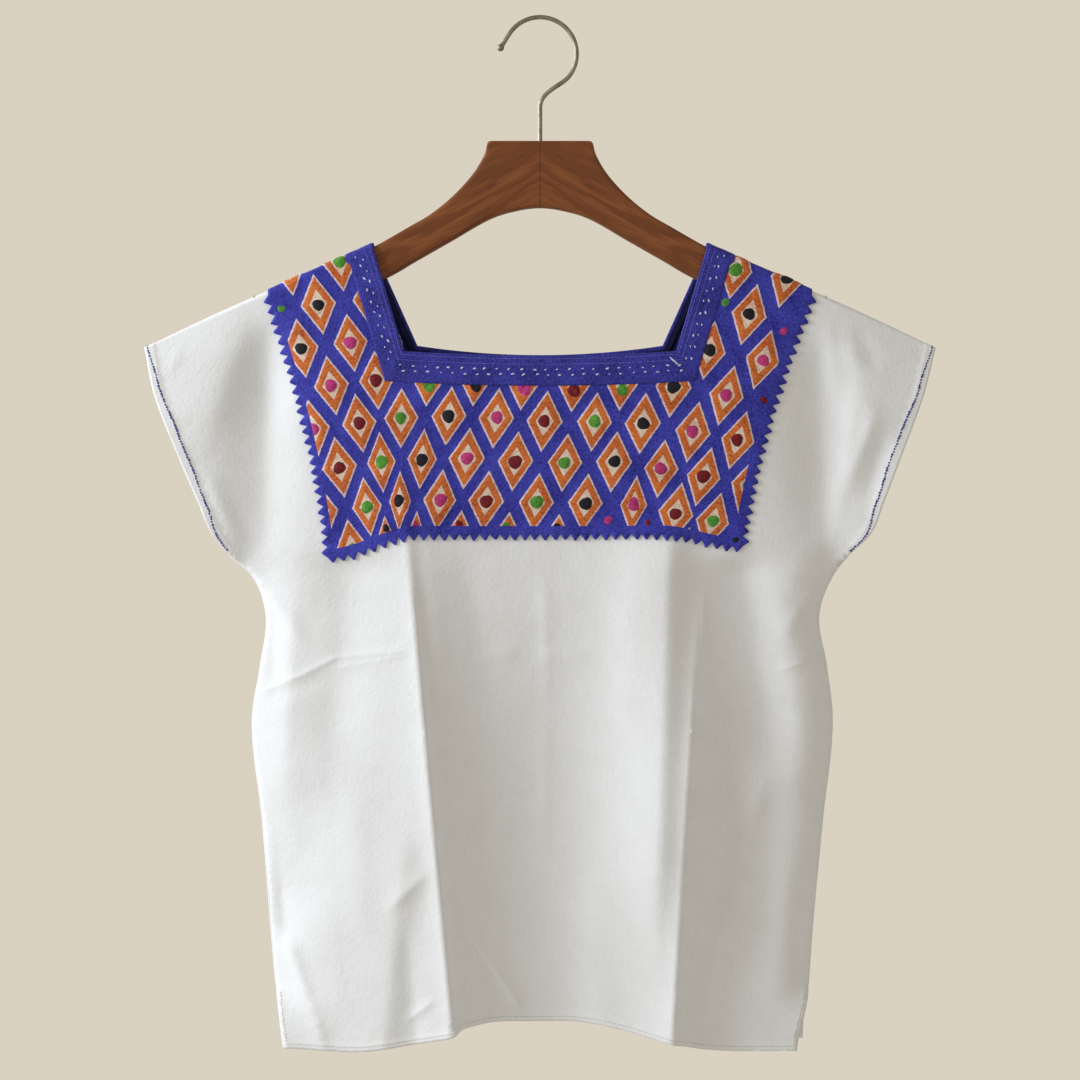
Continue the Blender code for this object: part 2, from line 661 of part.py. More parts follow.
def make_material(name):
    """One of the materials above."""
    colour, roughness, metallic = MATERIALS[name]
    made = bpy.data.materials.new(name)
    made.use_nodes = True
    made.diffuse_color = colour
    shader = made.node_tree.nodes["Principled BSDF"]
    shader.inputs["Base Color"].default_value = colour
    shader.inputs["Roughness"].default_value = roughness
    shader.inputs["Metallic"].default_value = metallic
    return made


def main():
    """Clear the scene and build every piece."""
    for old in list(bpy.data.objects):
        bpy.data.objects.remove(old)
    scene = bpy.context.scene
    blouse = bpy.data.collections.new("Blouse on hanger")
    cutters = bpy.data.collections.new("Cutters")
    scene.collection.children.link(blouse)
    scene.collection.children.link(cutters)
    cutters.hide_render = True
    cotton, embroidery, walnut, nickel = (make_material(name) for name in MATERIALS)
    pieces = []
    for side in ("front", "back"):
        pieces += Cloth(side).pieces(cotton, embroidery)
    pieces += [make_hanger(walnut, cutters), make_hook(nickel)]
    for piece in pieces:
        blouse.objects.link(piece)


if __name__ == "__main__":
    main()
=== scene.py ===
"""Looks of a square-necked cotton blouse on a wooden hanger.

The cloth of each side is laid out flat as a net of triangles and hung on the same form as its solid, with
the pressed and hanging creases added. The yoke's net follows its embroidered diamonds, so that each thread
colour is its own crisp patch of raised faces. The neck band is folded over the neck's edge, and the sewing
is laid on the cloth stitch by stitch. Sizes are in metres.
"""

import logging
import math
from dataclasses import dataclass, field
from enum import Enum, IntEnum

import bpy
import numpy as np
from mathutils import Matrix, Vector
from mathutils.geometry import delaunay_2d_cdt
from mathutils.kdtree import KDTree


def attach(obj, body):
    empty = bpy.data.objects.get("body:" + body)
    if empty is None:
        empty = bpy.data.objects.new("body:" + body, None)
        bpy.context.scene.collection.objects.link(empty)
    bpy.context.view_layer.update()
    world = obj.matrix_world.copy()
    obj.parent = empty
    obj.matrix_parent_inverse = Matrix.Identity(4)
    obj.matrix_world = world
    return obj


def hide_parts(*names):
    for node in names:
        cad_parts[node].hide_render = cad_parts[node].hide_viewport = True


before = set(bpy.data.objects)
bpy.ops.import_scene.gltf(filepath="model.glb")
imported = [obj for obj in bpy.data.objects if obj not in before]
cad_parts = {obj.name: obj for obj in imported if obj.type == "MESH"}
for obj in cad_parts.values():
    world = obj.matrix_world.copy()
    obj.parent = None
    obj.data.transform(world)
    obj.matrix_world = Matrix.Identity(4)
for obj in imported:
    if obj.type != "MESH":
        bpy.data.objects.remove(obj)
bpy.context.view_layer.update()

MM = 0.001
SEED = 11
ROOT = "root"
LOG = logging.getLogger("blouse")

Array = np.ndarray
Socket = bpy.types.NodeSocket
Material = bpy.types.Material
Object = bpy.types.Object
Triple = tuple[float, float, float]
Colour = Triple


class Side(Enum):
    """The front and the back of the blouse."""

    FRONT = "front"
    BACK = "back"

    @property
    def outward(self) -> float:
        """The sign of y in which this side faces."""
        return -1.0 if self is Side.FRONT else 1.0


class Dot(IntEnum):
    """Colours of the dots, in the order in which they follow each other along a row of diamonds."""

    GREEN = 0
    BLACK = 1
    PINK = 2
    DARK_RED = 3


class Patch(IntEnum):
    """Material slots of the embroidered yoke."""

    GROUND = 0
    OUTLINE = 1
    ORANGE = 2
    CREAM = 3
    GREEN = 4
    BLACK = 5
    PINK = 6
    DARK_RED = 7
    # The wrong side of the yoke: its real blue, darkened as painted shade
    REVERSE = 8


DOT_PATCHES = {dot: Patch[dot.name] for dot in Dot}


def smooth_step(share: Array) -> Array:
    """0 below 0, 1 above 1, and an even rise between."""
    share = np.clip(share, 0.0, 1.0)
    return share * share * (3 - 2 * share)


def swell(value: Array, come: float, come_over: float, go: float, go_over: float) -> Array:
    """1 between two values, with an even rise after the first and an even fall before the second."""
    return smooth_step((value - come) / come_over) * smooth_step((go - value) / go_over)


def spaced(start: float, end: float, step: float) -> Array:
    """Values from start to end, evenly spaced by about a step, both ends included."""
    return np.linspace(start, end, max(1, round(abs(end - start) / step)) + 1)


def distance_to(points: Array, line: Array) -> Array:
    """Shortest distances from flat points to an open line, both given one point a row."""
    best = np.full(len(points), np.inf)
    for start, end in zip(line[:-1], line[1:]):
        run = end - start
        share = np.clip((points - start) @ run / max(float(run @ run), 1e-18), 0.0, 1.0)
        off = points - start - share[:, None] * run
        best = np.minimum(best, np.hypot(off[:, 0], off[:, 1]))
    return best


def inside(points: Array, polygon: Array) -> Array:
    """Whether each flat point lies inside a closed polygon."""
    x, z = points[:, 0], points[:, 1]
    odd = np.zeros(len(points), bool)
    for (ax, az), (bx, bz) in zip(polygon, np.roll(polygon, -1, axis=0)):
        if az != bz:
            odd ^= ((az > z) != (bz > z)) & (x < ax + (z - az) * (bx - ax) / (bz - az))
    return odd


def unit(vectors: Array) -> Array:
    """Vectors brought to length one."""
    return vectors / np.maximum(np.linalg.norm(vectors, axis=-1, keepdims=True), 1e-12)


def run_along(places: Array) -> Array:
    """Distance of each point of a line from its start, measured along the line."""
    return np.concatenate([[0.0], np.cumsum(np.linalg.norm(np.diff(places, axis=0), axis=1))])


def at_runs(stops: Array, run: Array, line: Array) -> Array:
    """Flat points of a line at some distances from its start."""
    return joined(*(np.interp(stops, run, line[:, k]) for k in range(2)))


def joined(*columns: Array) -> Array:
    """Rows put together from whole columns, such as points from their coordinates."""
    return np.stack(columns, axis=-1)


def in_parts(corners: Array, parts: int) -> Array:
    """A line through flat corners, with each stretch cut into equal parts."""
    steps = [corners[:-1] + (corners[1:] - corners[:-1]) * n / parts for n in range(parts)]
    return np.concatenate([np.stack(steps, axis=1).reshape(-1, 2), corners[-1:]])


def closed_above(line: Array) -> Array:
    """The area under a line that starts and ends at the shoulders, closed far above them."""
    return np.concatenate([line, [[line[-1][0], 1.0], [line[0][0], 1.0]]])


@dataclass
class MaterialBuilder:
    """One Principled material while its texture nodes are put together."""

    name: str
    roughness: float = 0.6
    metallic: float = 0.0
    sheen: float = 0.0
    specular: float = 0.5
    material: Material = field(init=False)

    def __post_init__(self) -> None:
        """Makes the material and sets the values that are the same all over it."""
        self.material = bpy.data.materials.new(self.name)
        self.material.use_nodes = True
        self.tree = self.material.node_tree
        self.shader = self.tree.nodes["Principled BSDF"]
        values = {"Roughness": self.roughness, "Metallic": self.metallic, "Sheen Weight": self.sheen,
                  "Sheen Roughness": 0.45, "Specular IOR Level": self.specular}
        for name, value in values.items():
            self.shader.inputs[name].default_value = value

    def add(self, kind: str, links: dict[str | int, object], **settings: object) -> bpy.types.Node:
        """Adds a node.

        Args:
            kind: The node's Blender type.
            links: For each input, a socket to join to it or a value.
            settings: The node's own settings.

        Returns:
            The node.
        """
        node = self.tree.nodes.new(kind)
        for key, value in settings.items():
            setattr(node, key, value)
        for key, value in links.items():
            if isinstance(value, Socket):
                self.tree.links.new(value, node.inputs[key])
            else:
                node.inputs[key].default_value = value
        return node

    def place(self, kind: str, scale: Triple, turn_deg: float = 0.0) -> Socket:
        """UV or Object coordinates in metres, turned about the third axis and then stretched."""
        source = self.add("ShaderNodeTexCoord", {}).outputs[kind]
        return self.stretch(self.turn(source, turn_deg), scale)

    def turn(self, vector: Socket, turn_deg: float) -> Socket:
        """Coordinates turned about the third axis."""
        turn = (0, 0, math.radians(turn_deg))
        return self.add("ShaderNodeMapping", {"Vector": vector, "Rotation": turn}).outputs[0]

    def stretch(self, vector: Socket, scale: Triple) -> Socket:
        """Coordinates stretched along each axis."""
        return self.add("ShaderNodeMapping", {"Vector": vector, "Scale": scale}).outputs[0]

    def noise(self, vector: Socket, detail: float = 2.0) -> Socket:
        """A noise value from 0 to 1."""
        node = self.add("ShaderNodeTexNoise", {"Vector": vector, "Scale": 1.0, "Detail": detail})
        return node.outputs["Fac"]

    def mottle(self, size: float, detail: float = 2.0) -> Socket:
        """A noise value on the cloth, of about one size each way."""
        return self.noise(self.place("UV", (1 / size,) * 3), detail)

    def sum(self, a: object, b: object, kind: str = "ADD") -> Socket:
        """Two values put together by a math node."""
        return self.add("ShaderNodeMath", {0: a, 1: b}, operation=kind).outputs[0]

    def times(self, value: Socket, factor: float) -> Socket:
        """A value times a factor."""
        return self.sum(value, factor, "MULTIPLY")

    def ramp(self, value: Socket, low: float, high: float) -> Socket:
        """A value spread from low..high to 0..1."""
        node = self.add("ShaderNodeMapRange", {"Value": value, "From Min": low, "From Max": high})
        return node.outputs["Result"]

    def mix(self, share: Socket, a: object, b: object) -> Socket:
        """A colour between two colours."""
        ends = [c if isinstance(c, Socket) else (*c, 1.0) for c in (a, b)]
        node = self.add("ShaderNodeMix", {"Factor": share, 6: ends[0], 7: ends[1]}, data_type="RGBA")
        return node.outputs[2]

    def finish(self, colour: Socket, height: Socket, depth: float,
               strength: float, roughness: Socket | None = None) -> Material:
        """Joins colour, relief and roughness to the shader.

        Args:
            colour: The base colour.
            height: The relief, from 0 to 1.
            depth: What a height of 1 stands for, in metres.
            strength: How much of the relief is shown.
            roughness: The roughness where it changes over the surface.

        Returns:
            The finished material.
        """
        bump = self.add("ShaderNodeBump", {"Height": height, "Distance": depth, "Strength": strength})
        self.tree.links.new(colour, self.shader.inputs["Base Color"])
        self.tree.links.new(bump.outputs[0], self.shader.inputs["Normal"])
        if roughness is not None:
            self.tree.links.new(roughness, self.shader.inputs["Roughness"])
        return self.material


@dataclass(frozen=True)
class Cotton:
    """Plain woven cotton: matt, faintly slubbed along both of its threads, and softly rumpled."""

    name: str = "white_cotton"
    light: Colour = (0.875, 0.88, 0.885)
    dull: Colour = (0.82, 0.82, 0.82)
    thread: float = 0.8 * MM
    slub: float = 16 * MM
    rumple: float = 24 * MM
    grit: float = 3.0 * MM
    weave_share: float = 0.8
    grit_share: float = 1.7
    rumple_share: float = 5.0
    relief: float = 0.11 * MM

    def make(self) -> Material:
        """The cotton's material."""
        made = MaterialBuilder(self.name, roughness=0.85, sheen=0.12, specular=0.25)
        warp = made.noise(made.place("UV", (1 / self.thread, 1 / self.slub, 1)), 3)
        weft = made.noise(made.place("UV", (1 / self.slub, 1 / self.thread, 1)), 3)
        rumple = made.mottle(self.rumple, 3)
        weave = made.times(made.sum(warp, weft), 0.5)
        tone = made.ramp(made.sum(weave, made.times(rumple, 0.35)), 0.50, 0.80)
        colour = made.mix(tone, self.dull, self.light)
        grit = made.mottle(self.grit)
        relief = made.sum(made.times(weave, self.weave_share), made.times(grit, self.grit_share))
        relief = made.sum(relief, made.times(rumple, self.rumple_share))
        return made.finish(colour, relief, self.relief, 1.0)


@dataclass(frozen=True)
class Thread:
    """Embroidery thread laid side by side in one direction, with a soft lustre."""

    name: str
    light: Colour
    dark: Colour
    turn_deg: float = 0.0
    width: float = 0.75 * MM
    run: float = 5 * MM
    relief: float = 0.38 * MM
    speckle: float = 1.7 * MM
    patch: float = 20 * MM

    def make(self) -> Material:
        """The thread's material."""
        made = MaterialBuilder(self.name, roughness=0.66, sheen=0.04, specular=0.25)
        strands = made.noise(made.place("UV", (1 / self.width, 1 / self.run, 1), self.turn_deg), 2)
        spots = made.mottle(self.speckle)
        patches = made.mottle(self.patch)
        tone = made.sum(made.times(strands, 0.45), made.times(spots, 0.35))
        tone = made.ramp(made.sum(tone, made.times(patches, 0.3)), 0.42, 0.68)
        relief = made.sum(strands, made.times(spots, 0.8))
        return made.finish(made.mix(tone, self.dark, self.light), relief, self.relief, 1.0)


@dataclass(frozen=True)
class Walnut:
    """Oiled walnut whose grain runs along each arm and meets at a joint in the middle."""

    name: str = "walnut"
    light: Colour = (0.30, 0.098, 0.027)
    middle: Colour = (0.178, 0.052, 0.014)
    dark: Colour = (0.050, 0.016, 0.007)
    slope_deg: float = 28.0
    ring: float = 17 * MM
    drift: float = 4.5
    joint_half: float = 0.35 * MM
    relief: float = 0.05 * MM

    def make(self) -> Material:
        """The wood's material, mirrored about the middle joint."""
        made = MaterialBuilder(self.name, roughness=0.45, specular=0.28)
        source = made.add("ShaderNodeTexCoord", {}).outputs["Object"]
        apart = made.add("ShaderNodeSeparateXYZ", {"Vector": source})
        across = made.sum(apart.outputs[0], 0.0, "ABSOLUTE")
        places = {0: across, 1: apart.outputs[2], 2: apart.outputs[1]}
        grain = made.turn(made.add("ShaderNodeCombineXYZ", places).outputs[0], self.slope_deg)
        drift = made.noise(made.stretch(grain, (9.0, 45.0, 45.0)), 3)
        run = made.add("ShaderNodeSeparateXYZ", {"Vector": grain}).outputs[1]
        rings = made.sum(made.times(run, 1 / self.ring), made.times(drift, self.drift))
        wave = made.sum(made.times(rings, 2 * math.pi), 0.0, "SINE")
        bands = made.sum(made.times(wave, 0.5), 0.5)
        fibres = made.noise(made.stretch(grain, (30.0, 1400.0, 1400.0)), 3)
        pores = made.ramp(made.noise(made.stretch(grain, (60.0, 2200.0, 2200.0)), 1), 0.64, 0.74)
        base = made.mix(bands, self.middle, self.light)
        base = made.mix(made.ramp(fibres, 0.35, 0.75), base, self.middle)
        joint = made.sum(across, self.joint_half, "LESS_THAN")
        dark = made.sum(made.times(pores, 0.75), made.times(joint, 0.7), "MAXIMUM")
        rough = made.ramp(fibres, -1.2, 2.2)
        relief = made.sum(fibres, dark, "SUBTRACT")
        return made.finish(made.mix(dark, base, self.dark), relief, self.relief, 0.7, rough)


@dataclass(frozen=True)
class Nickel:
    """Brushed nickel-plated wire."""

    name: str = "nickel_wire"
    light: Colour = (0.45, 0.39, 0.30)
    dark: Colour = (0.20, 0.165, 0.12)

    def make(self) -> Material:
        """The metal's material."""
        made = MaterialBuilder(self.name, metallic=1.0)
        fine = made.noise(made.place("Object", (2600.0, 2600.0, 500.0)), 3)
        broad = made.noise(made.place("Object", (90.0,) * 3), 3)
        spread = {"Value": fine, "To Min": 0.44, "To Max": 0.58}
        rough = made.add("ShaderNodeMapRange", spread).outputs["Result"]
        colour = made.mix(made.ramp(made.sum(fine, broad), 0.7, 1.3), self.dark, self.light)
        return made.finish(colour, fine, 0.005 * MM, 0.3, rough)


@dataclass(frozen=True)
class FloorPaint:
    """Pale matt paint with a very slight mottle."""

    name: str = "studio_floor"
    light: Colour = (0.72, 0.69, 0.62)
    dark: Colour = (0.66, 0.63, 0.56)

    def make(self) -> Material:
        """The floor's material."""
        made = MaterialBuilder(self.name, roughness=0.8)
        mottle = made.noise(made.place("Object", (6.0,) * 3), 4)
        return made.finish(made.mix(mottle, self.dark, self.light), mottle, 0.3 * MM, 0.3)


@dataclass(frozen=True)
class Fold:
    """One fold or crease from a start to an end, in millimetres.

    The rise is outwards. The widths lie to its left and right as one looks along it with the front towards
    the eye, sharp is 1 for a crease and 2 for a soft roll, and the fades are the shares of its length over
    which it comes and goes.
    """

    start_x: float
    start_z: float
    end_x: float
    end_z: float
    rise: float
    left: float
    right: float
    sharp: float = 1.5
    fade_in: float = 0.35
    fade_out: float = 0.35

    @property
    def ends(self) -> tuple[Array, Array]:
        """Start and end in the front view, in metres."""
        return np.array((self.start_x, self.start_z)) * MM, np.array((self.end_x, self.end_z)) * MM

    def x_at(self, z: Array) -> Array:
        """Where the fold's line is at a height, in metres."""
        share = (z / MM - self.start_z) / (self.end_z - self.start_z)
        return (self.start_x + (self.end_x - self.start_x) * share) * MM

    def lift(self, x: Array, z: Array) -> Array:
        """How far the fold lifts the cloth at points in the front view, in metres."""
        run_x, run_z = self.end_x - self.start_x, self.end_z - self.start_z
        length = math.hypot(run_x, run_z)
        from_x, from_z = x / MM - self.start_x, z / MM - self.start_z
        along = (from_x * run_x + from_z * run_z) / length ** 2
        across = (from_z * run_x - from_x * run_z) / length
        width = np.where(across > 0, self.right, self.left)
        come = smooth_step(along / self.fade_in)
        go = smooth_step((1 - along) / self.fade_out) if self.fade_out else 1.0
        return self.rise * MM * come * go * np.exp(-(np.abs(across) / width) ** self.sharp)


# The folds that the solids have too
HANGING_FOLDS = {
    Side.FRONT: (
        Fold(-107, -290, -62, -770, 21, 78, 19, 1.15, 0.62, 0),
        Fold(121, -400, 98, -770, 18, 46, 17, 1.15, 0.55, 0),
        Fold(14, -400, 18, -770, -5, 48, 48, 2, 0.5, 0),
        Fold(154, -600, 119, -770, 4, 14, 12, 1.5, 0.6, 0),
        Fold(-207, -215, -204, -440, -6, 30, 24, 1.6, 0.3, 0.5),
        Fold(207, -215, 217, -440, -6, 26, 30, 1.6, 0.3, 0.5),
    ),
    Side.BACK: (
        Fold(-92, -330, -84, -770, 15, 30, 42, 1.3, 0.6, 0),
        Fold(22, -380, 28, -770, 11, 34, 26, 1.4, 0.6, 0),
        Fold(116, -360, 110, -770, 13, 30, 38, 1.3, 0.6, 0),
        Fold(-209, -215, -208, -440, -6, 28, 26, 1.6, 0.3, 0.5),
        Fold(209, -215, 213, -440, -6, 28, 26, 1.6, 0.3, 0.5),
    ),
}

# Broad soft hollows and rolls between the folds
SWAYS = {
    Side.FRONT: (
        Fold(-142, -395, -160, -575, -4.8, 36, 25, 1.9, 0.12, 0.3),
        Fold(-156, -540, -188, -700, -4.0, 28, 24, 1.9, 0.3, 0.35),
        Fold(97, -368, 82, -740, 10.2, 37, 15, 1.7, 0.12, 0.35),
        Fold(148, -395, 176, -580, -7.4, 27, 18, 1.9, 0.12, 0.3),
        Fold(-183, -412, -191, -600, 1.8, 15, 12, 1.4, 0.2, 0.35),
        Fold(170, -560, 176, -735, -4.2, 34, 24, 1.9, 0.25, 0.3),
        Fold(-92, -290, -47, -770, 4.8, 12, 34, 1.5, 0.5, 0),
        Fold(-99, -580, -117, -770, 4.4, 34, 14, 1.8, 0.35, 0),
        Fold(-208, -222, -208, -440, -3.4, 26, 22, 1.8, 0.2, 0.35),
        Fold(-203, -214, -206, -330, -3.4, 20, 13, 1.7, 0.2, 0.45),
        Fold(-217, -212, -256, -335, 2.9, 26, 13, 1.8, 0.3, 0.4),
        Fold(209, -222, 214, -440, -4.6, 27, 20, 1.8, 0.2, 0.35),
        Fold(232, -232, 252, -330, 2.4, 15, 17, 1.7, 0.3, 0.4),
        Fold(229, -224, 237, -266, 2.0, 10, 9, 1.5, 0.3, 0.4),
    ),
    Side.BACK: (
        Fold(-158, -400, -166, -700, -3.6, 26, 24, 1.9, 0.15, 0.3),
        Fold(164, -400, 168, -700, -3.8, 26, 24, 1.9, 0.15, 0.3),
        Fold(-34, -400, -30, -740, -2.6, 22, 20, 1.8, 0.2, 0.2),
        Fold(70, -400, 72, -740, -2.6, 18, 22, 1.8, 0.2, 0.2),
        Fold(-208, -222, -208, -440, -3.6, 24, 22, 1.8, 0.2, 0.35),
        Fold(209, -222, 212, -440, -3.6, 24, 22, 1.8, 0.2, 0.35),
    ),
}

# Pressed and hanging creases, listed one by one, each with its own size
CREASES = {
    Side.FRONT: (
        Fold(-107, -290, -62, -770, 2.6, 15, 3.2, 1.0, 0.4, 0),
        Fold(121, -400, 98, -770, 2.2, 13, 3.2, 1.0, 0.4, 0),
        Fold(-214, -507, -176, -490, 0.85, 2.8, 2.4, 1.3, 0.3, 0.25),
        Fold(-184, -494, -146, -475, 0.9, 2.8, 2.4, 1.3, 0.25, 0.25),
        Fold(-154, -477.5, -95, -472.5, 0.75, 2.8, 2.4, 1.3, 0.25, 0.2),
        Fold(-163, -488, -94, -475, 0.5, 2.6, 2.6, 1.3, 0.3, 0.2),
        Fold(-205, -511, -150, -490, -0.6, 7, 6, 1.6),
        Fold(-52, -478, -12, -475, 0.6, 7, 5, 1.8),
        Fold(-4, -473, 44, -478, 0.7, 6, 5, 1.7),
        Fold(118, -483, 152, -499, 0.75, 2.6, 2.6, 1.3, 0.25, 0.25),
        Fold(146, -496, 192, -513, 0.8, 2.8, 2.4, 1.3, 0.25, 0.3),
        Fold(174, -489, 202, -480, 0.8, 2.6, 2.8, 1.3),
        Fold(123, -418, 119, -487, 0.8, 2.6, 2.8, 1.3, 0.35, 0.15),
        Fold(3, -402, 5, -520, 0.7, 5, 6, 1.3),
        Fold(5, -500, 3, -640, 0.6, 6, 5, 1.3),
        Fold(-193, -676, -167, -745, 2.4, 7, 5, 1.3),
        Fold(-172, -728, -158, -775, 1.4, 7, 5, 1.3, 0.3, 0),
        Fold(-199, -640, -186, -700, -1.3, 8, 9, 1.8),
        Fold(-116, -668, -80, -632, 1.6, 5, 7, 1.3),
        Fold(-100, -665, -92, -770, -1.0, 9, 7, 1.7, 0.3, 0),
        Fold(-101, -748, -74, -727, 0.9, 2.6, 3.2, 1.3),
        Fold(-63, -664, -11, -743, 1.4, 2.6, 2.6, 1.2, 0.2, 0.15),
        Fold(-63, -660, -10, -743, 1.2, 9, 8, 1.6),
        Fold(-56, -690, -24, -742, -1.0, 9, 5, 1.7),
        Fold(172, -556, 137, -662, 2.2, 10, 7, 1.4),
        Fold(160, -575, 128, -690, -1.8, 9, 12, 1.8),
        Fold(188, -600, 178, -740, 1.2, 12, 9, 1.8),
        Fold(40, -610, 46, -772, 1.4, 16, 18, 1.9, 0.5, 0),
        Fold(-140, -560, -132, -700, 1.2, 16, 14, 1.9),
        Fold(-267, -243, -278, -268, 1.0, 4, 4, 1.3),
        Fold(-252, -330, -220, -410, 1.4, 7, 7, 1.5),
        Fold(214, -219, 222, -290, 1.4, 7, 7, 1.4),
        Fold(232, -228, 256, -268, -1.6, 7, 7, 1.5),
        Fold(254, -284, 226, -360, 1.8, 6, 6, 1.4),
        Fold(262, -300, 240, -372, -1.6, 7, 6, 1.6),
        Fold(238, -262, 220, -398, 1.4, 8, 8, 1.6),
        Fold(-214, -418, -172, -470, 1.3, 6, 6, 1.5),
        Fold(216, -418, 176, -466, 1.4, 6, 6, 1.5),
        Fold(-206, -430, -196, -520, -1.2, 7, 8, 1.7),
        Fold(-60, -388, -34, -520, -0.9, 12, 14, 1.9),
        Fold(70, -392, 62, -560, 0.9, 14, 14, 1.9),
    ),
    Side.BACK: (
        Fold(-92, -330, -84, -770, 1.8, 8, 5, 1.1, 0.5, 0),
        Fold(116, -360, 110, -770, 1.8, 5, 8, 1.1, 0.5, 0),
        Fold(-210, -500, -110, -478, 1.3, 5, 7, 1.3),
        Fold(-40, -476, 30, -480, 0.9, 6, 6, 1.6),
        Fold(108, -482, 200, -506, 1.4, 5, 7, 1.3),
        Fold(2, -404, 4, -560, 0.7, 6, 5, 1.3),
        Fold(-190, -655, -160, -760, 1.7, 8, 6, 1.3, 0.35, 0.1),
        Fold(182, -640, 158, -765, 1.8, 6, 8, 1.4, 0.35, 0.1),
        Fold(-48, -640, -14, -745, 1.4, 7, 6, 1.3),
        Fold(64, -600, 74, -740, 1.3, 11, 9, 1.6),
        Fold(-140, -560, -128, -690, 1.2, 14, 13, 1.8),
        Fold(-256, -250, -240, -330, -2.2, 10, 10, 1.7),
        Fold(-234, -226, -226, -350, 1.8, 9, 9, 1.5),
        Fold(250, -250, 236, -340, -2.2, 10, 10, 1.7),
        Fold(228, -226, 222, -360, 2.0, 8, 9, 1.5),
        Fold(-212, -418, -170, -476, 1.3, 6, 6, 1.5),
        Fold(214, -418, 172, -474, 1.2, 6, 6, 1.5),
    ),
}


@dataclass(frozen=True)
class Shoulder:
    """The shoulder line over the hanger's arm, and the cloth's way round the arm."""

    neck_x: float = 125 * MM
    neck_z: float = -170 * MM
    slope: float = 0.434
    arm_tip_x: float = 218 * MM
    sleeve_tip_x: float = 296 * MM
    tip_droop: float = 2.5 * MM
    flat: float = 3 * MM
    radius: float = 4 * MM
    tip_scale: float = 0.4
    turn_step_deg: float = 15.0

    def past_tip(self, x: Array) -> Array:
        """How far points are past the arm's tip, as a share of the way to the sleeve's tip."""
        return np.maximum(0.0, np.abs(x) - self.arm_tip_x) / (self.sleeve_tip_x - self.arm_tip_x)

    def crest_z(self, x: Array) -> Array:
        """Height of the shoulder line."""
        return self.neck_z - self.slope * (np.abs(x) - self.neck_x) - self.tip_droop * self.past_tip(x) ** 2

    def scale(self, x: Array) -> Array:
        """How full the fold over the shoulder is: 1 on the arm, less out at the sleeve's tip."""
        return 1 - (1 - self.tip_scale) * smooth_step(self.past_tip(x))

    def run_over(self, x: Array) -> Array:
        """Length of cloth from the shoulder line to where it hangs down."""
        return (self.flat + self.radius * math.pi / 2) * self.scale(x)

    def foot_z(self, x: Array) -> Array:
        """Height at which the cloth has come round the arm and hangs down."""
        return self.crest_z(x) - self.radius * self.scale(x)

    def laid(self, x: Array, z: Array) -> Array:
        """Layout points of places given by their heights below the arm."""
        x, z = np.broadcast_arrays(np.asarray(x, float), np.asarray(z, float))
        return joined(x, z - self.foot_z(x) - self.run_over(x))

    def height(self, points: Array) -> Array:
        """Heights of layout points, carried straight on upwards over the arm."""
        x = points[:, 0]
        return points[:, 1] + self.foot_z(x) + self.run_over(x)

    def over(self, x: float) -> Array:
        """Layout points of one column over the arm, from the shoulder line down."""
        turns = np.radians(np.arange(0.0, 90.01, self.turn_step_deg))
        runs = np.concatenate([[0.0, self.flat / 2], self.flat + self.radius * turns]) * self.scale(x)
        return joined(np.full(len(runs), x), -runs)

    def top_line(self, sign: int, end_x: float, step: float) -> Array:
        """Layout points along the shoulder line, between the neck and another place but without both."""
        x = spaced(self.neck_x, end_x, step)[1:-1]
        return joined(sign * x, np.zeros(len(x)))

    def bend_lines(self, start_x: float, end_x: float, step: float) -> list[Array]:
        """Lines along both shoulders, where the cloth bends over the arm."""
        lines = []
        for sign in (-1, 1):
            columns = np.array([self.over(sign * x) for x in spaced(start_x, end_x, step)])
            lines += [columns[:, row] for row in range(1, columns.shape[1])]
        return lines


@dataclass(frozen=True)
class Neck:
    """The square neck of one side, with its sagging edge and its band."""

    corner_x: float
    corner_z: float
    sag: float
    band_width: float


@dataclass(frozen=True)
class Hem:
    """Hem heights in the middle and at the sides, and where the change lies."""

    middle: float
    side: float
    start: float
    end: float


NECKS = {
    Side.FRONT: Neck(102 * MM, -250.5 * MM, 3.5 * MM, 21.5 * MM),
    Side.BACK: Neck(93 * MM, -244.5 * MM, 7 * MM, 24 * MM),
}
BODY_DEPTHS = {Side.FRONT: 13 * MM, Side.BACK: 18 * MM}
HEMS = {
    Side.FRONT: Hem(-749 * MM, -771 * MM, 20 * MM, 150 * MM),
    Side.BACK: Hem(-752 * MM, -767 * MM, 30 * MM, 150 * MM),
}

# Where the hem hangs higher or lower: rise, where that comes, over how far, where it goes, over how far
HEM_CHANGES_MM = {
    Side.FRONT: ((-2.4, -120, 50, -60, 4), (2.4, -300, 1, -110, 80), (1.8, -62, 6, -5, 40)),
    Side.BACK: (),
}

# Heights with the half widths on the left and on the right, from the sleeve's tip to the hem
EDGE_ROWS_MM = (
    (-247, 296, 296), (-280, 289, 287.5), (-325, 271.5, 271), (-363, 255, 256.5), (-386, 245, 247),
    (-402, 232, 231), (-416, 216.5, 220), (-446, 205.2, 209), (-484, 209.3, 214.5), (-524, 215.4, 219),
    (-600, 208, 211.7), (-674, 202, 204.7), (-725, 197.5, 201), (-772, 190.5, 198.5),
)


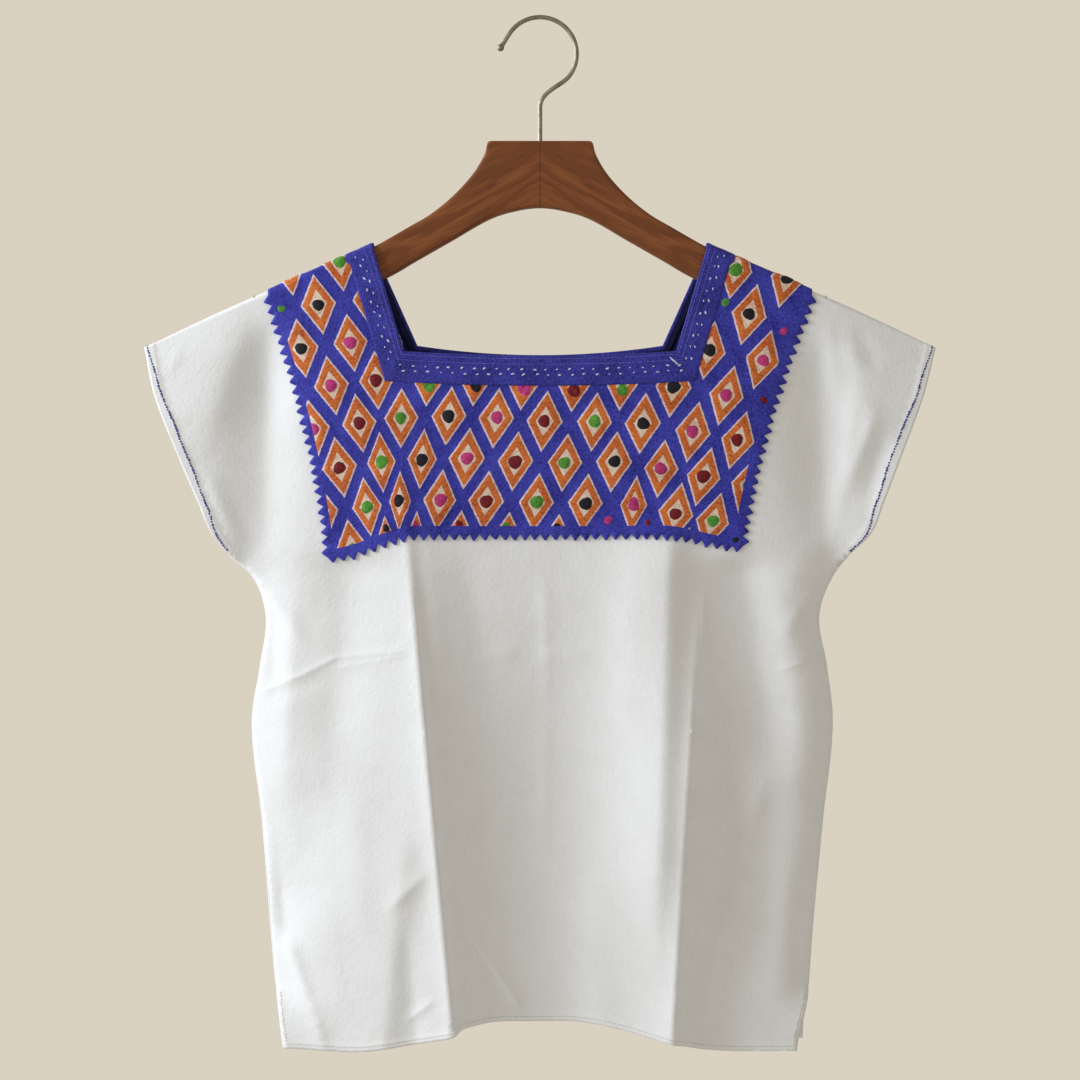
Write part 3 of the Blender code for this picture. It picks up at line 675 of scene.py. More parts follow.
@dataclass
class Panel:
    """One side of the blouse: its outline, its lines of sewing and the form in which it hangs."""

    side: Side
    shoulder: Shoulder = field(default_factory=Shoulder)
    sleeve_depth: float = 11 * MM
    seam_half: float = 0.4 * MM
    strap_width: float = 20 * MM
    yoke_top_x: float = 203 * MM
    yoke_bottom_z: float = -386 * MM
    yoke_corner_x: dict[int, float] = field(default_factory=lambda: {-1: 158 * MM, 1: 151 * MM})
    yoke_droop: dict[int, float] = field(default_factory=lambda: {-1: 17 * MM, 1: 9 * MM})
    yoke_droop_from: float = 90 * MM
    strap_parts: int = 36
    front_parts: int = 72
    yoke_edge_bend: float = 0.45
    tooth_pitch: float = 7.5 * MM
    tooth_height: float = 5 * MM
    lap: float = 12 * MM
    cuff_bottom_z: float = -402 * MM
    vent_top_z: float = -725 * MM
    vent_height: float = 45 * MM
    vent_lean: float = 7 * MM
    crease_share: float = 1.25
    closing_left: float = 52 * MM
    closing_right: float = 32 * MM

    def __post_init__(self) -> None:
        """Works out the closed seams, which hold this side to the other."""
        self.neck = NECKS[self.side]
        self.hem = HEMS[self.side]
        self.seams = []
        for sign in (-1, 1):
            z = spaced(-380 * MM, self.hem.side, 10 * MM)
            z = z[(z >= self.vent_top_z) & (z <= self.cuff_bottom_z)]
            self.seams.append(joined(sign * self.half_width(sign, z), z))

    def half_width(self, sign: int, z: Array) -> Array:
        """Distance of the cuff, underarm or side seam from the middle line."""
        rows = np.array(EDGE_ROWS_MM) * MM
        heights, values = rows[:, 0], rows[:, 1 if sign < 0 else 2]
        last = len(rows) - 1
        at = np.clip(np.atleast_1d(z), heights[last], heights[0])
        i = np.clip(np.searchsorted(-heights, -at, side="left") - 1, 0, last - 1)
        slopes = np.diff(values) / np.diff(heights)
        start = (slopes[np.maximum(i - 1, 0)] + slopes[i]) / 2
        end = (slopes[i] + slopes[np.minimum(i + 1, last - 1)]) / 2
        span = heights[i + 1] - heights[i]
        t = (at - heights[i]) / span
        width = (values[i] * (1 + 2 * t) * (1 - t) ** 2 + span * start * t * (1 - t) ** 2
                 + values[i + 1] * t * t * (3 - 2 * t) + span * end * t * t * (t - 1))
        if self.side is Side.FRONT and sign > 0:
            width = width - self.vent_lean * smooth_step((self.vent_top_z - at) / self.vent_height)
        return width if np.ndim(z) else width[0]

    def hem_z(self, x: Array) -> Array:
        """Height of the hem."""
        share = smooth_step((np.abs(x) - self.hem.start) / (self.hem.end - self.hem.start))
        height = self.hem.middle + (self.hem.side - self.hem.middle) * share
        return height + sum(rise * MM * swell(x / MM, *where) for rise, *where in HEM_CHANGES_MM[self.side])

    def hem_x(self, inset: float, step: float) -> Array:
        """Places across the hem, from side to side or from a little inside both sides."""
        left, right = (sign * (self.half_width(sign, self.hem.side) - inset) for sign in (-1, 1))
        return spaced(left, right, step)

    def neck_x(self, z: Array) -> Array:
        """Distance of the neck's slanting side edge from the middle line."""
        top = self.shoulder.foot_z(self.shoulder.neck_x)
        share = np.maximum(0.0, (top - z) / (top - self.neck.corner_z))
        return self.shoulder.neck_x + (self.neck.corner_x - self.shoulder.neck_x) * share

    def neck_line(self, share: float) -> Array:
        """The neck's edge, or a line that follows it outside.

        Args:
            share: 0 at the neck's edge and 1 at the band's outer edge.

        Returns:
            Layout points from the left shoulder round to the right one.
        """
        strap, width = share * self.strap_width, share * self.neck.band_width
        top_x = self.shoulder.neck_x + strap
        corner_z = self.neck.corner_z - width
        corner_x = self.neck_x(corner_z) + strap
        halves = []
        for sign in (-1, 1):
            z = np.linspace(self.shoulder.foot_z(top_x), corner_z, self.strap_parts + 1)[1:]
            strap_line = self.shoulder.laid(sign * (self.neck_x(z) + strap), z)
            halves.append(np.concatenate([self.shoulder.over(sign * top_x), strap_line]))
        x = np.linspace(-corner_x, corner_x, self.front_parts + 1)[1:-1]
        bottom = self.shoulder.laid(x, corner_z - self.neck.sag * (1 - (x / corner_x) ** 2))
        return np.concatenate([halves[0], bottom, halves[1][::-1]])

    def yoke_x(self, sign: int, z: Array) -> Array:
        """Distance of the yoke's outer edge, at the bottom of its teeth, from the middle line."""
        top = self.shoulder.foot_z(self.yoke_top_x)
        share = np.maximum(0.0, (z - self.yoke_bottom_z) / (top - self.yoke_bottom_z))
        corner = self.yoke_corner_x[sign]
        return corner + (self.yoke_top_x - corner) * share * (1 - self.yoke_edge_bend * (1 - share))

    def yoke_z(self, x: float) -> float:
        """Height of the yoke's lower edge, at the bottom of its teeth."""
        sign = -1 if x < 0 else 1
        share = (abs(x) - self.yoke_droop_from) / (self.yoke_corner_x[sign] - self.yoke_droop_from)
        return self.yoke_bottom_z - self.yoke_droop[sign] * float(smooth_step(np.array(share)))

    def toothed(self, line: Array, parts: int = 3) -> Array:
        """A line with an uneven, blunt tooth between each two of its points, in short parts."""
        rng = np.random.default_rng(SEED + len(self.side.value))
        corners = [line[0]]
        for start, end in zip(line[:-1], line[1:]):
            run = (end - start) / np.linalg.norm(end - start)
            height, shift, blunt = rng.uniform((0.8, -0.7, 0.3), (1.04, 0.7, 0.8))
            out = np.array([run[1], -run[0]])
            tip = (start + end) / 2 + out * self.tooth_height * height + run * shift * MM
            corners += [tip - run * blunt * MM, tip + run * blunt * MM, end]
        return in_parts(np.array(corners), parts)

    def yoke_line(self, inset: float, step: float, toothed: bool, left_share: float = 1.0) -> Array:
        """The yoke's outer edge, or a line inside it.

        Args:
            inset: How far inside the edge the line lies.
            step: Spacing of its points, which is a tooth's width where it is toothed.
            toothed: Whether it has the teeth.
            left_share: Share of the inset that is kept down the left side.

        Returns:
            Layout points from the left shoulder down, along and up to the right.
        """
        insets = {-1: inset * left_share, 1: inset}
        sides = []
        for sign in (-1, 1):
            corner_z = self.yoke_z(sign * self.yoke_corner_x[sign]) + inset
            z = spaced(float(self.shoulder.foot_z(self.yoke_top_x - insets[sign])), corner_z, step)
            sides.append(joined(sign * (self.yoke_x(sign, z) - insets[sign]), z))
        left, right = sides
        x = spaced(left[-1][0], right[-1][0], step)[1:-1]
        bottom = np.array([(n, self.yoke_z(n) + inset) for n in x])
        line = np.concatenate([left, bottom, right[::-1]])
        line = self.toothed(line) if toothed else line
        over = [self.shoulder.over(sign * (self.yoke_top_x - insets[sign]))[:-1] for sign in (-1, 1)]
        return np.concatenate([over[0], self.shoulder.laid(line[:, 0], line[:, 1]), over[1][::-1]])

    def edge_line(self, sign: int, step: float, inset: float = 0.0) -> Array:
        """Cuff, underarm and side seam, from the sleeve's tip down to the hem."""
        tip_x = self.shoulder.sleeve_tip_x - inset
        z = spaced(float(self.shoulder.foot_z(tip_x)), self.hem.side, step)[1:]
        line = self.shoulder.laid(sign * (self.half_width(sign, z) - inset), z)
        return np.concatenate([self.shoulder.over(sign * tip_x), line])

    def outline(self, step: float) -> Array:
        """The closed outline of the whole side, anticlockwise as seen from the front."""
        left, right = self.edge_line(-1, step), self.edge_line(1, step)
        tops = [self.shoulder.top_line(sign, self.shoulder.sleeve_tip_x, step) for sign in (-1, 1)]
        x = self.hem_x(0.0, step)
        hem = self.shoulder.laid(x, self.hem_z(x))
        neck = self.neck_line(0.0)[::-1]
        return np.concatenate([hem[:-1], right[::-1], tops[1][::-1], neck, tops[0], left[:-1]])

    def depth(self, x: Array, z: Array) -> Array:
        """Distance from the middle plane where the cloth hangs free."""
        shoulder = self.shoulder
        sleeve = smooth_step((np.abs(x) - 190 * MM) / (60 * MM))
        body = BODY_DEPTHS[self.side]
        full = body + (self.sleeve_depth - body) * sleeve
        at_crest = (shoulder.flat + shoulder.radius) * shoulder.scale(x)
        below = np.maximum(0.0, shoulder.foot_z(x) - z)
        free = at_crest + (full - at_crest) * (1 - np.exp(-below / (55 * MM)))
        fade = 1 - np.exp(-below / (30 * MM))
        free = free + sum(fold.lift(x, z) for fold in HANGING_FOLDS[self.side]) * fade
        spots = joined(x, z)
        reach = np.minimum(distance_to(spots, self.seams[0]), distance_to(spots, self.seams[1]))
        closing = np.where(x < 0, self.closing_left, self.closing_right)
        open_share = 1 - (1 - np.minimum(1.0, reach / closing)) ** 2
        fine = sum(crease.lift(x, z) for crease in CREASES[self.side]) * self.crease_share
        fine += sum(sway.lift(x, z) for sway in SWAYS[self.side])
        fine = fine * fade * np.minimum(1.0, reach / (10 * MM))
        return self.seam_half + (free - self.seam_half) * open_share + fine

    def place(self, points: Array) -> Array:
        """Where layout points hang, in space."""
        shoulder = self.shoulder
        x, run = points[:, 0], -points[:, 1]
        scale, length = shoulder.scale(x), shoulder.run_over(x)
        turn = np.clip((run / scale - shoulder.flat) / shoulder.radius, 0.0, math.pi / 2)
        over_y = scale * (np.minimum(run / scale, shoulder.flat) + shoulder.radius * np.sin(turn))
        over_z = shoulder.crest_z(x) - scale * shoulder.radius * (1 - np.cos(turn))
        hang_z = shoulder.foot_z(x) - (run - length)
        over = run < length - 0.01 * MM
        y = np.where(over, over_y, self.depth(x, hang_z))
        z = np.where(over, over_z, hang_z)
        return joined(x, y * self.side.outward, z)

    def normals(self, points: Array) -> Array:
        """Outward directions of the hung cloth at layout points."""
        reach = 0.7 * MM
        across = self.place(points + [reach, 0]) - self.place(points - [reach, 0])
        lower = points - [0, reach]
        upper = joined(points[:, 0], np.minimum(0.0, points[:, 1] + reach))
        up = self.place(upper) - self.place(lower)
        return unit(np.cross(across, up)) * (1.0 if self.side is Side.FRONT else -1.0)


class Net:
    """A flat net of triangles inside an outline, whose edges follow given lines."""

    def __init__(self, outline: Array, lines: list[Array], spacing: float, hole: Array | None = None) -> None:
        """Lays the net out.

        Args:
            outline: The closed outline.
            lines: Open or closed lines that the triangles' edges follow.
            spacing: Distance between neighbouring points away from the lines.
            hole: A closed polygon that is left out.
        """
        closed = np.concatenate([outline, outline[:1]])
        points, edges, count = [], [], 0
        for line in [closed, *lines]:
            edges += [(n, n + 1) for n in range(count, count + len(line) - 1)]
            points.append(line)
            count += len(line)
        fixed = np.concatenate(points)
        fill = self.filling(outline, fixed, spacing, hole)
        every = np.concatenate([fixed, fill])
        made = delaunay_2d_cdt([Vector(p) for p in every], edges, [], 0, 0.02 * MM, False)
        flat = np.array([(p.x, p.y) for p in made[0]])
        faces = np.array([face for face in made[2] if len(face) == 3])
        middles = flat[faces].mean(axis=1)
        keep = inside(middles, outline)
        if hole is not None:
            keep &= ~inside(middles, hole)
        used, renumbered = np.unique(faces[keep], return_inverse=True)
        self.points = flat[used]
        self.faces = renumbered.reshape(-1, 3)
        self.middles = middles[keep]

    @staticmethod
    def filling(outline: Array, fixed: Array, spacing: float, hole: Array | None) -> Array:
        """Points of an even three-way grid, kept clear of the fixed points."""
        low, high = outline.min(axis=0), outline.max(axis=0)
        rows = np.arange(low[1], high[1], spacing * math.sqrt(0.75))
        columns = np.arange(low[0], high[0], spacing)
        x, z = np.meshgrid(columns, rows)
        x = x + (np.arange(len(rows)) % 2)[:, None] * spacing / 2
        spots = joined(x.ravel(), z.ravel())
        spots = spots[inside(spots, outline)]
        if hole is not None:
            spots = spots[~inside(spots, hole)]
        tree = KDTree(len(fixed))
        for n, (px, pz) in enumerate(fixed):
            tree.insert((px, pz, 0.0), n)
        tree.balance()
        clear = [tree.find((px, pz, 0.0))[2] > 0.62 * spacing for px, pz in spots]
        return spots[np.array(clear, bool)]


def tube_faces(rings: int, sides: int, start: int = 0, flip: bool = False) -> list[list[int]]:
    """Faces of a closed tube.

    Args:
        rings: How many rings of vertices it has.
        sides: Vertices in each ring.
        start: Number of its first vertex.
        flip: Whether the rings turn the other way.

    Returns:
        Vertex numbers of each face.
    """
    faces = []
    for ring in range(start, start + (rings - 1) * sides, sides):
        for n in range(sides):
            a, b = ring + n, ring + (n + 1) % sides
            faces.append([a, a + sides, b + sides, b] if flip else [a, b, b + sides, a + sides])
    last = start + (rings - 1) * sides
    caps = [list(range(start, start + sides)), list(range(last, last + sides))]
    caps[1 if flip else 0].reverse()
    return faces + caps


def build_mesh(name: str, vertices: Array, faces: list, uvs: Array, slots: Array,
               materials: list[Material], rim: int = 0) -> Object:
    """Makes a smooth-shaded mesh object at the origin.

    Args:
        name: The piece's name.
        vertices: Its vertices in the part's frame.
        faces: Vertex numbers of each face.
        uvs: The flat position of each vertex on its cloth, in metres.
        slots: The material slot of each face.
        materials: The materials in the order of the slots.
        rim: How many of the last faces are shaded flat, so that a rim doesn't bend the light beside it.

    Returns:
        The object, linked into the scene.
    """
    mesh = bpy.data.meshes.new(name)
    mesh.from_pydata(vertices.tolist(), [], faces)
    layer = mesh.uv_layers.new(name="Cloth")
    corners = np.zeros(len(mesh.loops), np.int32)
    mesh.loops.foreach_get("vertex_index", corners)
    layer.data.foreach_set("uv", uvs[corners].astype(np.float32).ravel())
    mesh.polygons.foreach_set("material_index", slots.astype(np.int32))
    mesh.polygons.foreach_set("use_smooth", np.arange(len(faces)) < len(faces) - rim)
    for material in materials:
        mesh.materials.append(material)
    mesh.validate()
    mesh.update()
    made = bpy.data.objects.new(name, mesh)
    link(made)
    return made


def build_shell(name: str, net: Net, outer: Array, inner: Array, slots: Array,
                inner_slot: int, materials: list[Material], flip: bool) -> Object:
    """Makes a closed thin shell from a net.

    Args:
        name: The piece's name.
        net: Its flat net.
        outer: Outer places of the net's points.
        inner: Inner places of the net's points.
        slots: Material slot of each outer face.
        inner_slot: Material slot of the inner faces.
        materials: The materials in the order of the slots.
        flip: Whether the net's faces are turned over, as on the back.

    Returns:
        The object.
    """
    faces = net.faces[:, ::-1] if flip else net.faces
    count = len(net.points)
    sides = np.concatenate([faces[:, [0, 1]], faces[:, [1, 2]], faces[:, [2, 0]]])
    owners = np.tile(np.arange(len(faces)), 3)
    _, first, times = np.unique(np.sort(sides, axis=1), axis=0, return_index=True, return_counts=True)
    rim = first[times == 1]
    a, b = sides[rim, 0], sides[rim, 1]
    walls = joined(b, a, a + count, b + count)
    every = faces.tolist() + (faces[:, ::-1] + count).tolist() + walls.tolist()
    kinds = np.concatenate([slots, np.full(len(faces), inner_slot), slots[owners[rim]]])
    uvs = np.concatenate([net.points, net.points])
    return build_mesh(name, np.concatenate([outer, inner]), every, uvs, kinds, materials, len(walls))


def net_area(net: Net, places: Array) -> float:
    """Area of the cloth of a net, in square metres."""
    a, b, c = (places[net.faces[:, n]] for n in range(3))
    return float(np.linalg.norm(np.cross(b - a, c - a), axis=1).sum() / 2)


@dataclass
class BodyPanel:
    """The white cotton of one side with its sleeves, hemmed at the cuffs and along the bottom."""

    panel: Panel
    cotton: Material
    wall: float = 0.7 * MM
    spacing: float = 3.3 * MM
    hem_fold: float = 5.2 * MM
    cuff_fold: float = 7.5 * MM
    fold_rise: float = 0.35 * MM
    crest_top_z: float = -425 * MM
    crest_shifts: tuple = (-3.5 * MM, 0.0, 1.8 * MM, 4.2 * MM)
    thin_width_mm: float = 4
    thin_shifts: tuple = (-3.0 * MM, -1.4 * MM, 0.0, 1.4 * MM, 3.0 * MM)
    measured_row_z: float = -524 * MM
    measured_half: float = 205 * MM
    measured_column_x: float = -140 * MM
    turned_up: float = 5 * MM

    def build(self) -> Object:
        """Lays out, hangs and dresses the body."""
        panel, side, shoulder = self.panel, self.panel.side, self.panel.shoulder
        lap = panel.yoke_line(panel.lap, self.spacing, False)
        bends = shoulder.bend_lines(panel.yoke_top_x - panel.lap, shoulder.sleeve_tip_x, self.spacing)
        lines = [lap, *self.crest_lines(), *self.thin_lines(), *bends, *self.hem_lines()]
        net = Net(panel.outline(self.spacing), lines, self.spacing, closed_above(lap))
        places, out = panel.place(net.points), panel.normals(net.points)
        relief = self.fold_relief(net.points)
        outer = places + out * (self.wall / 2 + relief)[:, None]
        inner = places - out * (self.wall / 2)
        made = build_shell(f"{side.value}_cloth", net, outer, inner, np.zeros(len(net.faces), int), 0,
                           [self.cotton], side is Side.BACK)
        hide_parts(f"{side.value}_body")
        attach(made, ROOT)
        self.net, self.places = net, places
        return made

    def crest_lines(self) -> list[Array]:
        """The lines of the sharp hanging folds, from under the yoke to above the hem."""
        lines = []
        for fold in HANGING_FOLDS[self.panel.side]:
            if fold.rise > 10:
                z = spaced(self.crest_top_z, self.panel.hem_z(fold.end_x * MM) + 9 * MM, self.spacing)
                for shift in self.crest_shifts:
                    lines.append(self.panel.shoulder.laid(fold.x_at(z) + shift, z))
        return lines

    def thin_lines(self) -> list[Array]:
        """Lines along the thin creases, which would otherwise fall between the net's points."""
        lines = []
        for fold in CREASES[self.panel.side]:
            if max(fold.left, fold.right) < self.thin_width_mm:
                start, end = fold.ends
                length = float(np.linalg.norm(end - start))
                across = np.array([end[1] - start[1], start[0] - end[0]]) / length
                share = spaced(0.0, 1.0, self.spacing / length)[:, None]
                for shift in self.thin_shifts:
                    spots = start + share * (end - start) + across * shift
                    lines.append(self.panel.shoulder.laid(spots[:, 0], spots[:, 1]))
        return lines

    def hem_lines(self) -> list[Array]:
        """Lines beside the folded edges of the hem and the cuffs."""
        panel = self.panel
        x = panel.hem_x(3 * MM, self.spacing)
        steps = np.array([0.5, -0.5, -1.2]) * MM
        rises = (*(self.hem_fold + steps), 1.6 * MM)
        lines = [panel.shoulder.laid(x, panel.hem_z(x) + rise) for rise in rises]
        for sign in (-1, 1):
            for inset in (*(self.cuff_fold + steps), 3.9 * MM, 1.6 * MM):
                line = panel.edge_line(sign, self.spacing, inset)
                z = panel.shoulder.height(line)
                lines.append(line[z > panel.cuff_bottom_z + 6 * MM])
        return lines

    def fold_relief(self, points: Array) -> Array:
        """How far the folded edges stand proud of the cloth."""
        panel = self.panel
        x, z = points[:, 0], panel.shoulder.height(points)
        above = z - panel.hem_z(x)
        relief = self.fold_rise * smooth_step((self.hem_fold + 0.5 * MM - above) / (1.0 * MM))
        widths = np.where(x < 0, panel.half_width(-1, z), panel.half_width(1, z))
        from_cuff = widths - np.abs(x)
        cuff = self.fold_rise * smooth_step((self.cuff_fold + 0.5 * MM - from_cuff) / (1.0 * MM))
        return np.maximum(relief, np.where(z > panel.cuff_bottom_z, cuff, 0.0))

    def flat_size(self) -> tuple[float, float]:
        """Width and length of the cloth laid flat, measured along one row and one column of it."""
        panel, laid = self.panel, self.panel.shoulder.laid
        row = laid(np.linspace(-self.measured_half, self.measured_half, 200), self.measured_row_z)
        width = max(run_along(panel.place(row))[-1], 2 * panel.shoulder.sleeve_tip_x)
        foot = laid(self.measured_column_x, panel.hem_z(self.measured_column_x))
        column = joined(np.full(200, self.measured_column_x), np.linspace(0, foot[1], 200))
        return float(width), float(run_along(panel.place(column))[-1] + self.turned_up)


@dataclass(frozen=True)
class Remnant:
    """A dot that is left of a diamond which the blue border covers, in millimetres in the front view."""

    x: float
    z: float
    radius: float
    colour: Dot


REMNANTS = (
    Remnant(-193.0, -217.9, 2.7, Dot.GREEN),
    Remnant(181.5, -234.6, 2.8, Dot.PINK),
    Remnant(166.5, -286.1, 2.8, Dot.DARK_RED),
    Remnant(138.0, -213.3, 3.0, Dot.GREEN),
    Remnant(50.6, -375.7, 3.1, Dot.PINK),
    Remnant(80.1, -377.8, 2.2, Dot.DARK_RED),
    Remnant(145.6, -390.2, 2.3, Dot.BLACK),
)


@dataclass
class Lattice:
    """The embroidered diamonds: half a column and a row apart, leaning and drooping where the cloth does.

    A diamond has a number of half columns and of rows whose sum is even.
    """

    half_column: float = 18 * MM
    middle_column: float = 4.667
    first_row_z: float = -301 * MM
    row: float = 30.2 * MM
    half_wide: float = 13.3 * MM
    half_high: float = 22.5 * MM
    outline: float = 1.25 * MM
    core_wide: float = 6.7 * MM
    core_high: float = 10.8 * MM
    dot: float = 4.8 * MM
    columns: range = range(-8, 18)
    rows: range = range(-6, 6)
    wobble: float = 0.4 * MM
    unevenness: float = 0.26 * MM
    outline_rise: float = 0.35 * MM
    filling_rise: float = 0.32 * MM
    core_sink: float = 0.25 * MM
    dot_rise: float = 0.85 * MM
    rise_over: float = 0.35 * MM
    reach_x: float = 22 * MM
    reach_z: float = 27 * MM
    round_squeeze: float = 0.6
    absent: tuple = ((-6, -2), (10, -2), (14, -2), (14, 0), (8, 4), (10, 4), (14, 4))

    def __post_init__(self) -> None:
        """Gives each diamond its place, its lean and its small differences."""
        rng = np.random.default_rng(SEED)
        self.spots = [(c, r) for c in self.columns for r in self.rows if (c + r) % 2 == 0]
        self.spots = [spot for spot in self.spots if spot not in self.absent]
        count = len(self.spots)
        c, r = (np.array([spot[k] for spot in self.spots], float) for k in range(2))
        left, right = smooth_step((-2 - c) / 1.0), smooth_step((c - 10) / 1.5)
        middle, beyond = swell(c, -2, 1.0, 6, 2), swell(c, 0.5, 1.5, 10.5, 1.5)
        tilt = 1.5 * smooth_step((1 - c) / 2) + 1.3 * swell(c, 1.5, 1.5, 9.5, 1.5)
        tilt += 1.9 * np.maximum(0.0, -1 - c) + 3.2 * np.maximum(0.0, c - 8.2)
        raised = (1.0 + 1.6 * smooth_step((3 - r) / 2)) * smooth_step((5 - c) / 2)
        self.z = self.first_row_z - self.row * (r - 1) + (raised - tilt) * MM
        self.lean = -0.11 + 0.28 * smooth_step((1 - c) / 5) - 0.20 * smooth_step((c - 9) / 4)
        self.x = self.half_column * (c - self.middle_column) + self.lean * (self.first_row_z - self.z)
        left *= smooth_step((2.5 - r) / 2.5)
        self.x += (5.2 * left - 1.6 * middle - 1.5 * beyond + 2.0 * right) * MM
        self.x += np.where((c == 11) & (r == -3), 7 * MM, 0)
        self.x += rng.uniform(-self.wobble, self.wobble, count)
        self.z += rng.uniform(-self.wobble, self.wobble, count)
        self.slope = 0.12 * smooth_step((-1 - c) / 2) - 0.15 * smooth_step((c - 9) / 2)
        self.slope += rng.uniform(-0.03, 0.03, count)
        self.size = rng.uniform(0.97, 1.03, count)
        pleat = np.exp(-((self.x / MM + 103.5) / 24) ** 2) * smooth_step((-285 - self.z / MM) / 75)
        tuck = np.exp(-((self.x / MM - 69) / 14) ** 2) * smooth_step((-330 - self.z / MM) / 25)
        self.squeeze = 1 - 0.42 * pleat - 0.22 * tuck
        self.dot_size = rng.uniform(0.9, 1.08, count)
        self.dot_off = rng.uniform(-0.6 * MM, 0.6 * MM, (count, 2))
        bottom = (r == 4) & (c > -3)
        low = (r == 0) & (c >= 0) & (c < 9)
        self.dot_off[:, 1] += np.where(bottom, 12.5 * MM, 0) - np.where(low, 6.5 * MM, 0)
        self.dot_size *= np.where(bottom, 0.6, 1.0)
        self.colour = ((c + r) / 2).astype(int) % 4
        self.colour[self.spots.index((-3, -3))] = Dot.GREEN

    def uneven(self, x: Array, z: Array, phase: float) -> Array:
        """Small steps in and out of the hand-laid thread's edges, at points of the front view."""
        a, b = x / MM + phase, z / MM - phase
        wave = np.sin(2.9 * a + 1.3 * np.sin(1.7 * b)) + np.sin(3.3 * b + 1.1 * np.sin(2.3 * a))
        return wave * self.unevenness / 2

    def shaped(self, n: int, flat: Array) -> Array:
        """Points of one diamond's own shape, brought to its place in the front view."""
        across = flat[:, 0] * self.squeeze[n] * self.size[n]
        down = flat[:, 1] * self.size[n] + self.slope[n] * across
        return joined(self.x[n] + across - self.lean[n] * down, self.z[n] + down)

    def ring(self, n: int, wide: float, high: float, parts: int, phase: float) -> Array:
        """A closed diamond round one centre, in the front view.

        Args:
            n: Number of the diamond.
            wide: Its half width.
            high: Its half height.
            parts: Parts along each of its sides.
            phase: Which run of small steps its edge has.

        Returns:
            Points with the first repeated at the end.
        """
        corners = np.array([(wide, 0), (0, high), (-wide, 0), (0, -high), (wide, 0)])
        made = self.shaped(n, in_parts(corners, parts))
        outward = unit(made - made[:-1].mean(axis=0))
        return made + outward * self.uneven(made[:, 0], made[:, 1], phase)[:, None]

    def circle(self, n: int, share: float, parts: int) -> Array:
        """A closed ring at a share of one dot's radius, in the front view."""
        turn = np.linspace(0, 2 * math.pi, parts + 1)
        radius = self.dot_radius(n, turn) * share
        x = self.x[n] + self.dot_off[n, 0] + radius * np.cos(turn) * self.dot_squeeze(n)
        return joined(x, self.z[n] + self.dot_off[n, 1] + radius * np.sin(turn))

    def dot_squeeze(self, n: int) -> float:
        """How narrow one dot is where the cloth turns away, which is less than its diamond is."""
        return 1 - self.round_squeeze + self.round_squeeze * self.squeeze[n]

    def dot_radius(self, n: int, turn: Array) -> Array:
        """Radius of one dot in some directions: a dot sewn by hand isn't quite round."""
        uneven = 0.06 * np.sin(3 * turn + n) + 0.05 * np.sin(2 * turn + 2.1 * n)
        uneven += 0.025 * np.sin(7 * turn + n)
        return self.dot * self.dot_size[n] * (1 + uneven)

    @staticmethod
    def middle_to_side(wide: float, high: float) -> float:
        """Distance from a diamond's middle to its sides."""
        return wide * high / math.hypot(wide, high)

    def lines(self, n: int) -> list[Array]:
        """All the lines of one diamond."""
        within = 1 - self.outline / self.middle_to_side(self.half_wide, self.half_high)
        rings = [self.ring(n, self.half_wide, self.half_high, 16, 0.0),
                 self.ring(n, self.half_wide * within, self.half_high * within, 15, 4.0),
                 self.ring(n, self.core_wide, self.core_high, 6, 9.0)]
        return rings + [self.circle(n, share, parts) for share, parts in ((1.0, 20), (0.76, 14), (0.4, 8))]

    def read(self, x: Array, z: Array) -> tuple[Array, Array]:
        """What lies at points of the front view.

        Args:
            x: Distances across.
            z: Heights.

        Returns:
            The patch of each point, and how far its threads stand up.
        """
        slant = self.middle_to_side(self.half_wide, self.half_high)
        core_slant = self.middle_to_side(self.core_wide, self.core_high)
        kind = np.full(len(x), Patch.GROUND)
        rise = np.zeros(len(x))
        for n in range(len(self.spots)):
            off_x, off_z = x - self.x[n], z - self.z[n]
            near = np.flatnonzero((np.abs(off_x) < self.reach_x) & (np.abs(off_z) < self.reach_z))
            if not len(near):
                continue
            off_x, off_z = off_x[near], off_z[near]
            first, second, third = (self.uneven(x[near], z[near], phase) for phase in (0.0, 4.0, 9.0))
            across = off_x + self.lean[n] * off_z
            down = off_z - self.slope[n] * across
            u, v = np.abs(across) / (self.size[n] * self.squeeze[n]), np.abs(down) / self.size[n]
            edge = (1 - u / self.half_wide - v / self.half_high) * slant
            filled = edge - self.outline + second
            edge += first
            core = (1 - u / self.core_wide - v / self.core_high) * core_slant + third
            dot_x = (off_x - self.dot_off[n, 0]) / self.dot_squeeze(n)
            dot_z = off_z - self.dot_off[n, 1]
            from_dot = self.dot_radius(n, np.arctan2(dot_z, dot_x)) - np.hypot(dot_x, dot_z)
            from_dot = np.where(filled > 0, from_dot, -1.0)
            here = kind[near]
            here[edge > 0] = Patch.OUTLINE
            here[filled > 0] = Patch.ORANGE
            here[(core > 0) & (filled > 0)] = Patch.CREAM
            here[from_dot > 0] = DOT_PATCHES[Dot(int(self.colour[n]))]
            kind[near] = here
            soft = self.rise_over
            up = self.outline_rise * smooth_step((edge + soft / 2) / soft)
            up += self.filling_rise * smooth_step((filled + soft) / (3 * soft))
            up -= self.core_sink * smooth_step((core + soft / 2) / soft)
            share = np.clip(from_dot / self.dot, 0, 1)
            rise[near] = np.maximum(rise[near], up + self.dot_rise * np.sqrt(share * (2 - share)))
        return kind, rise


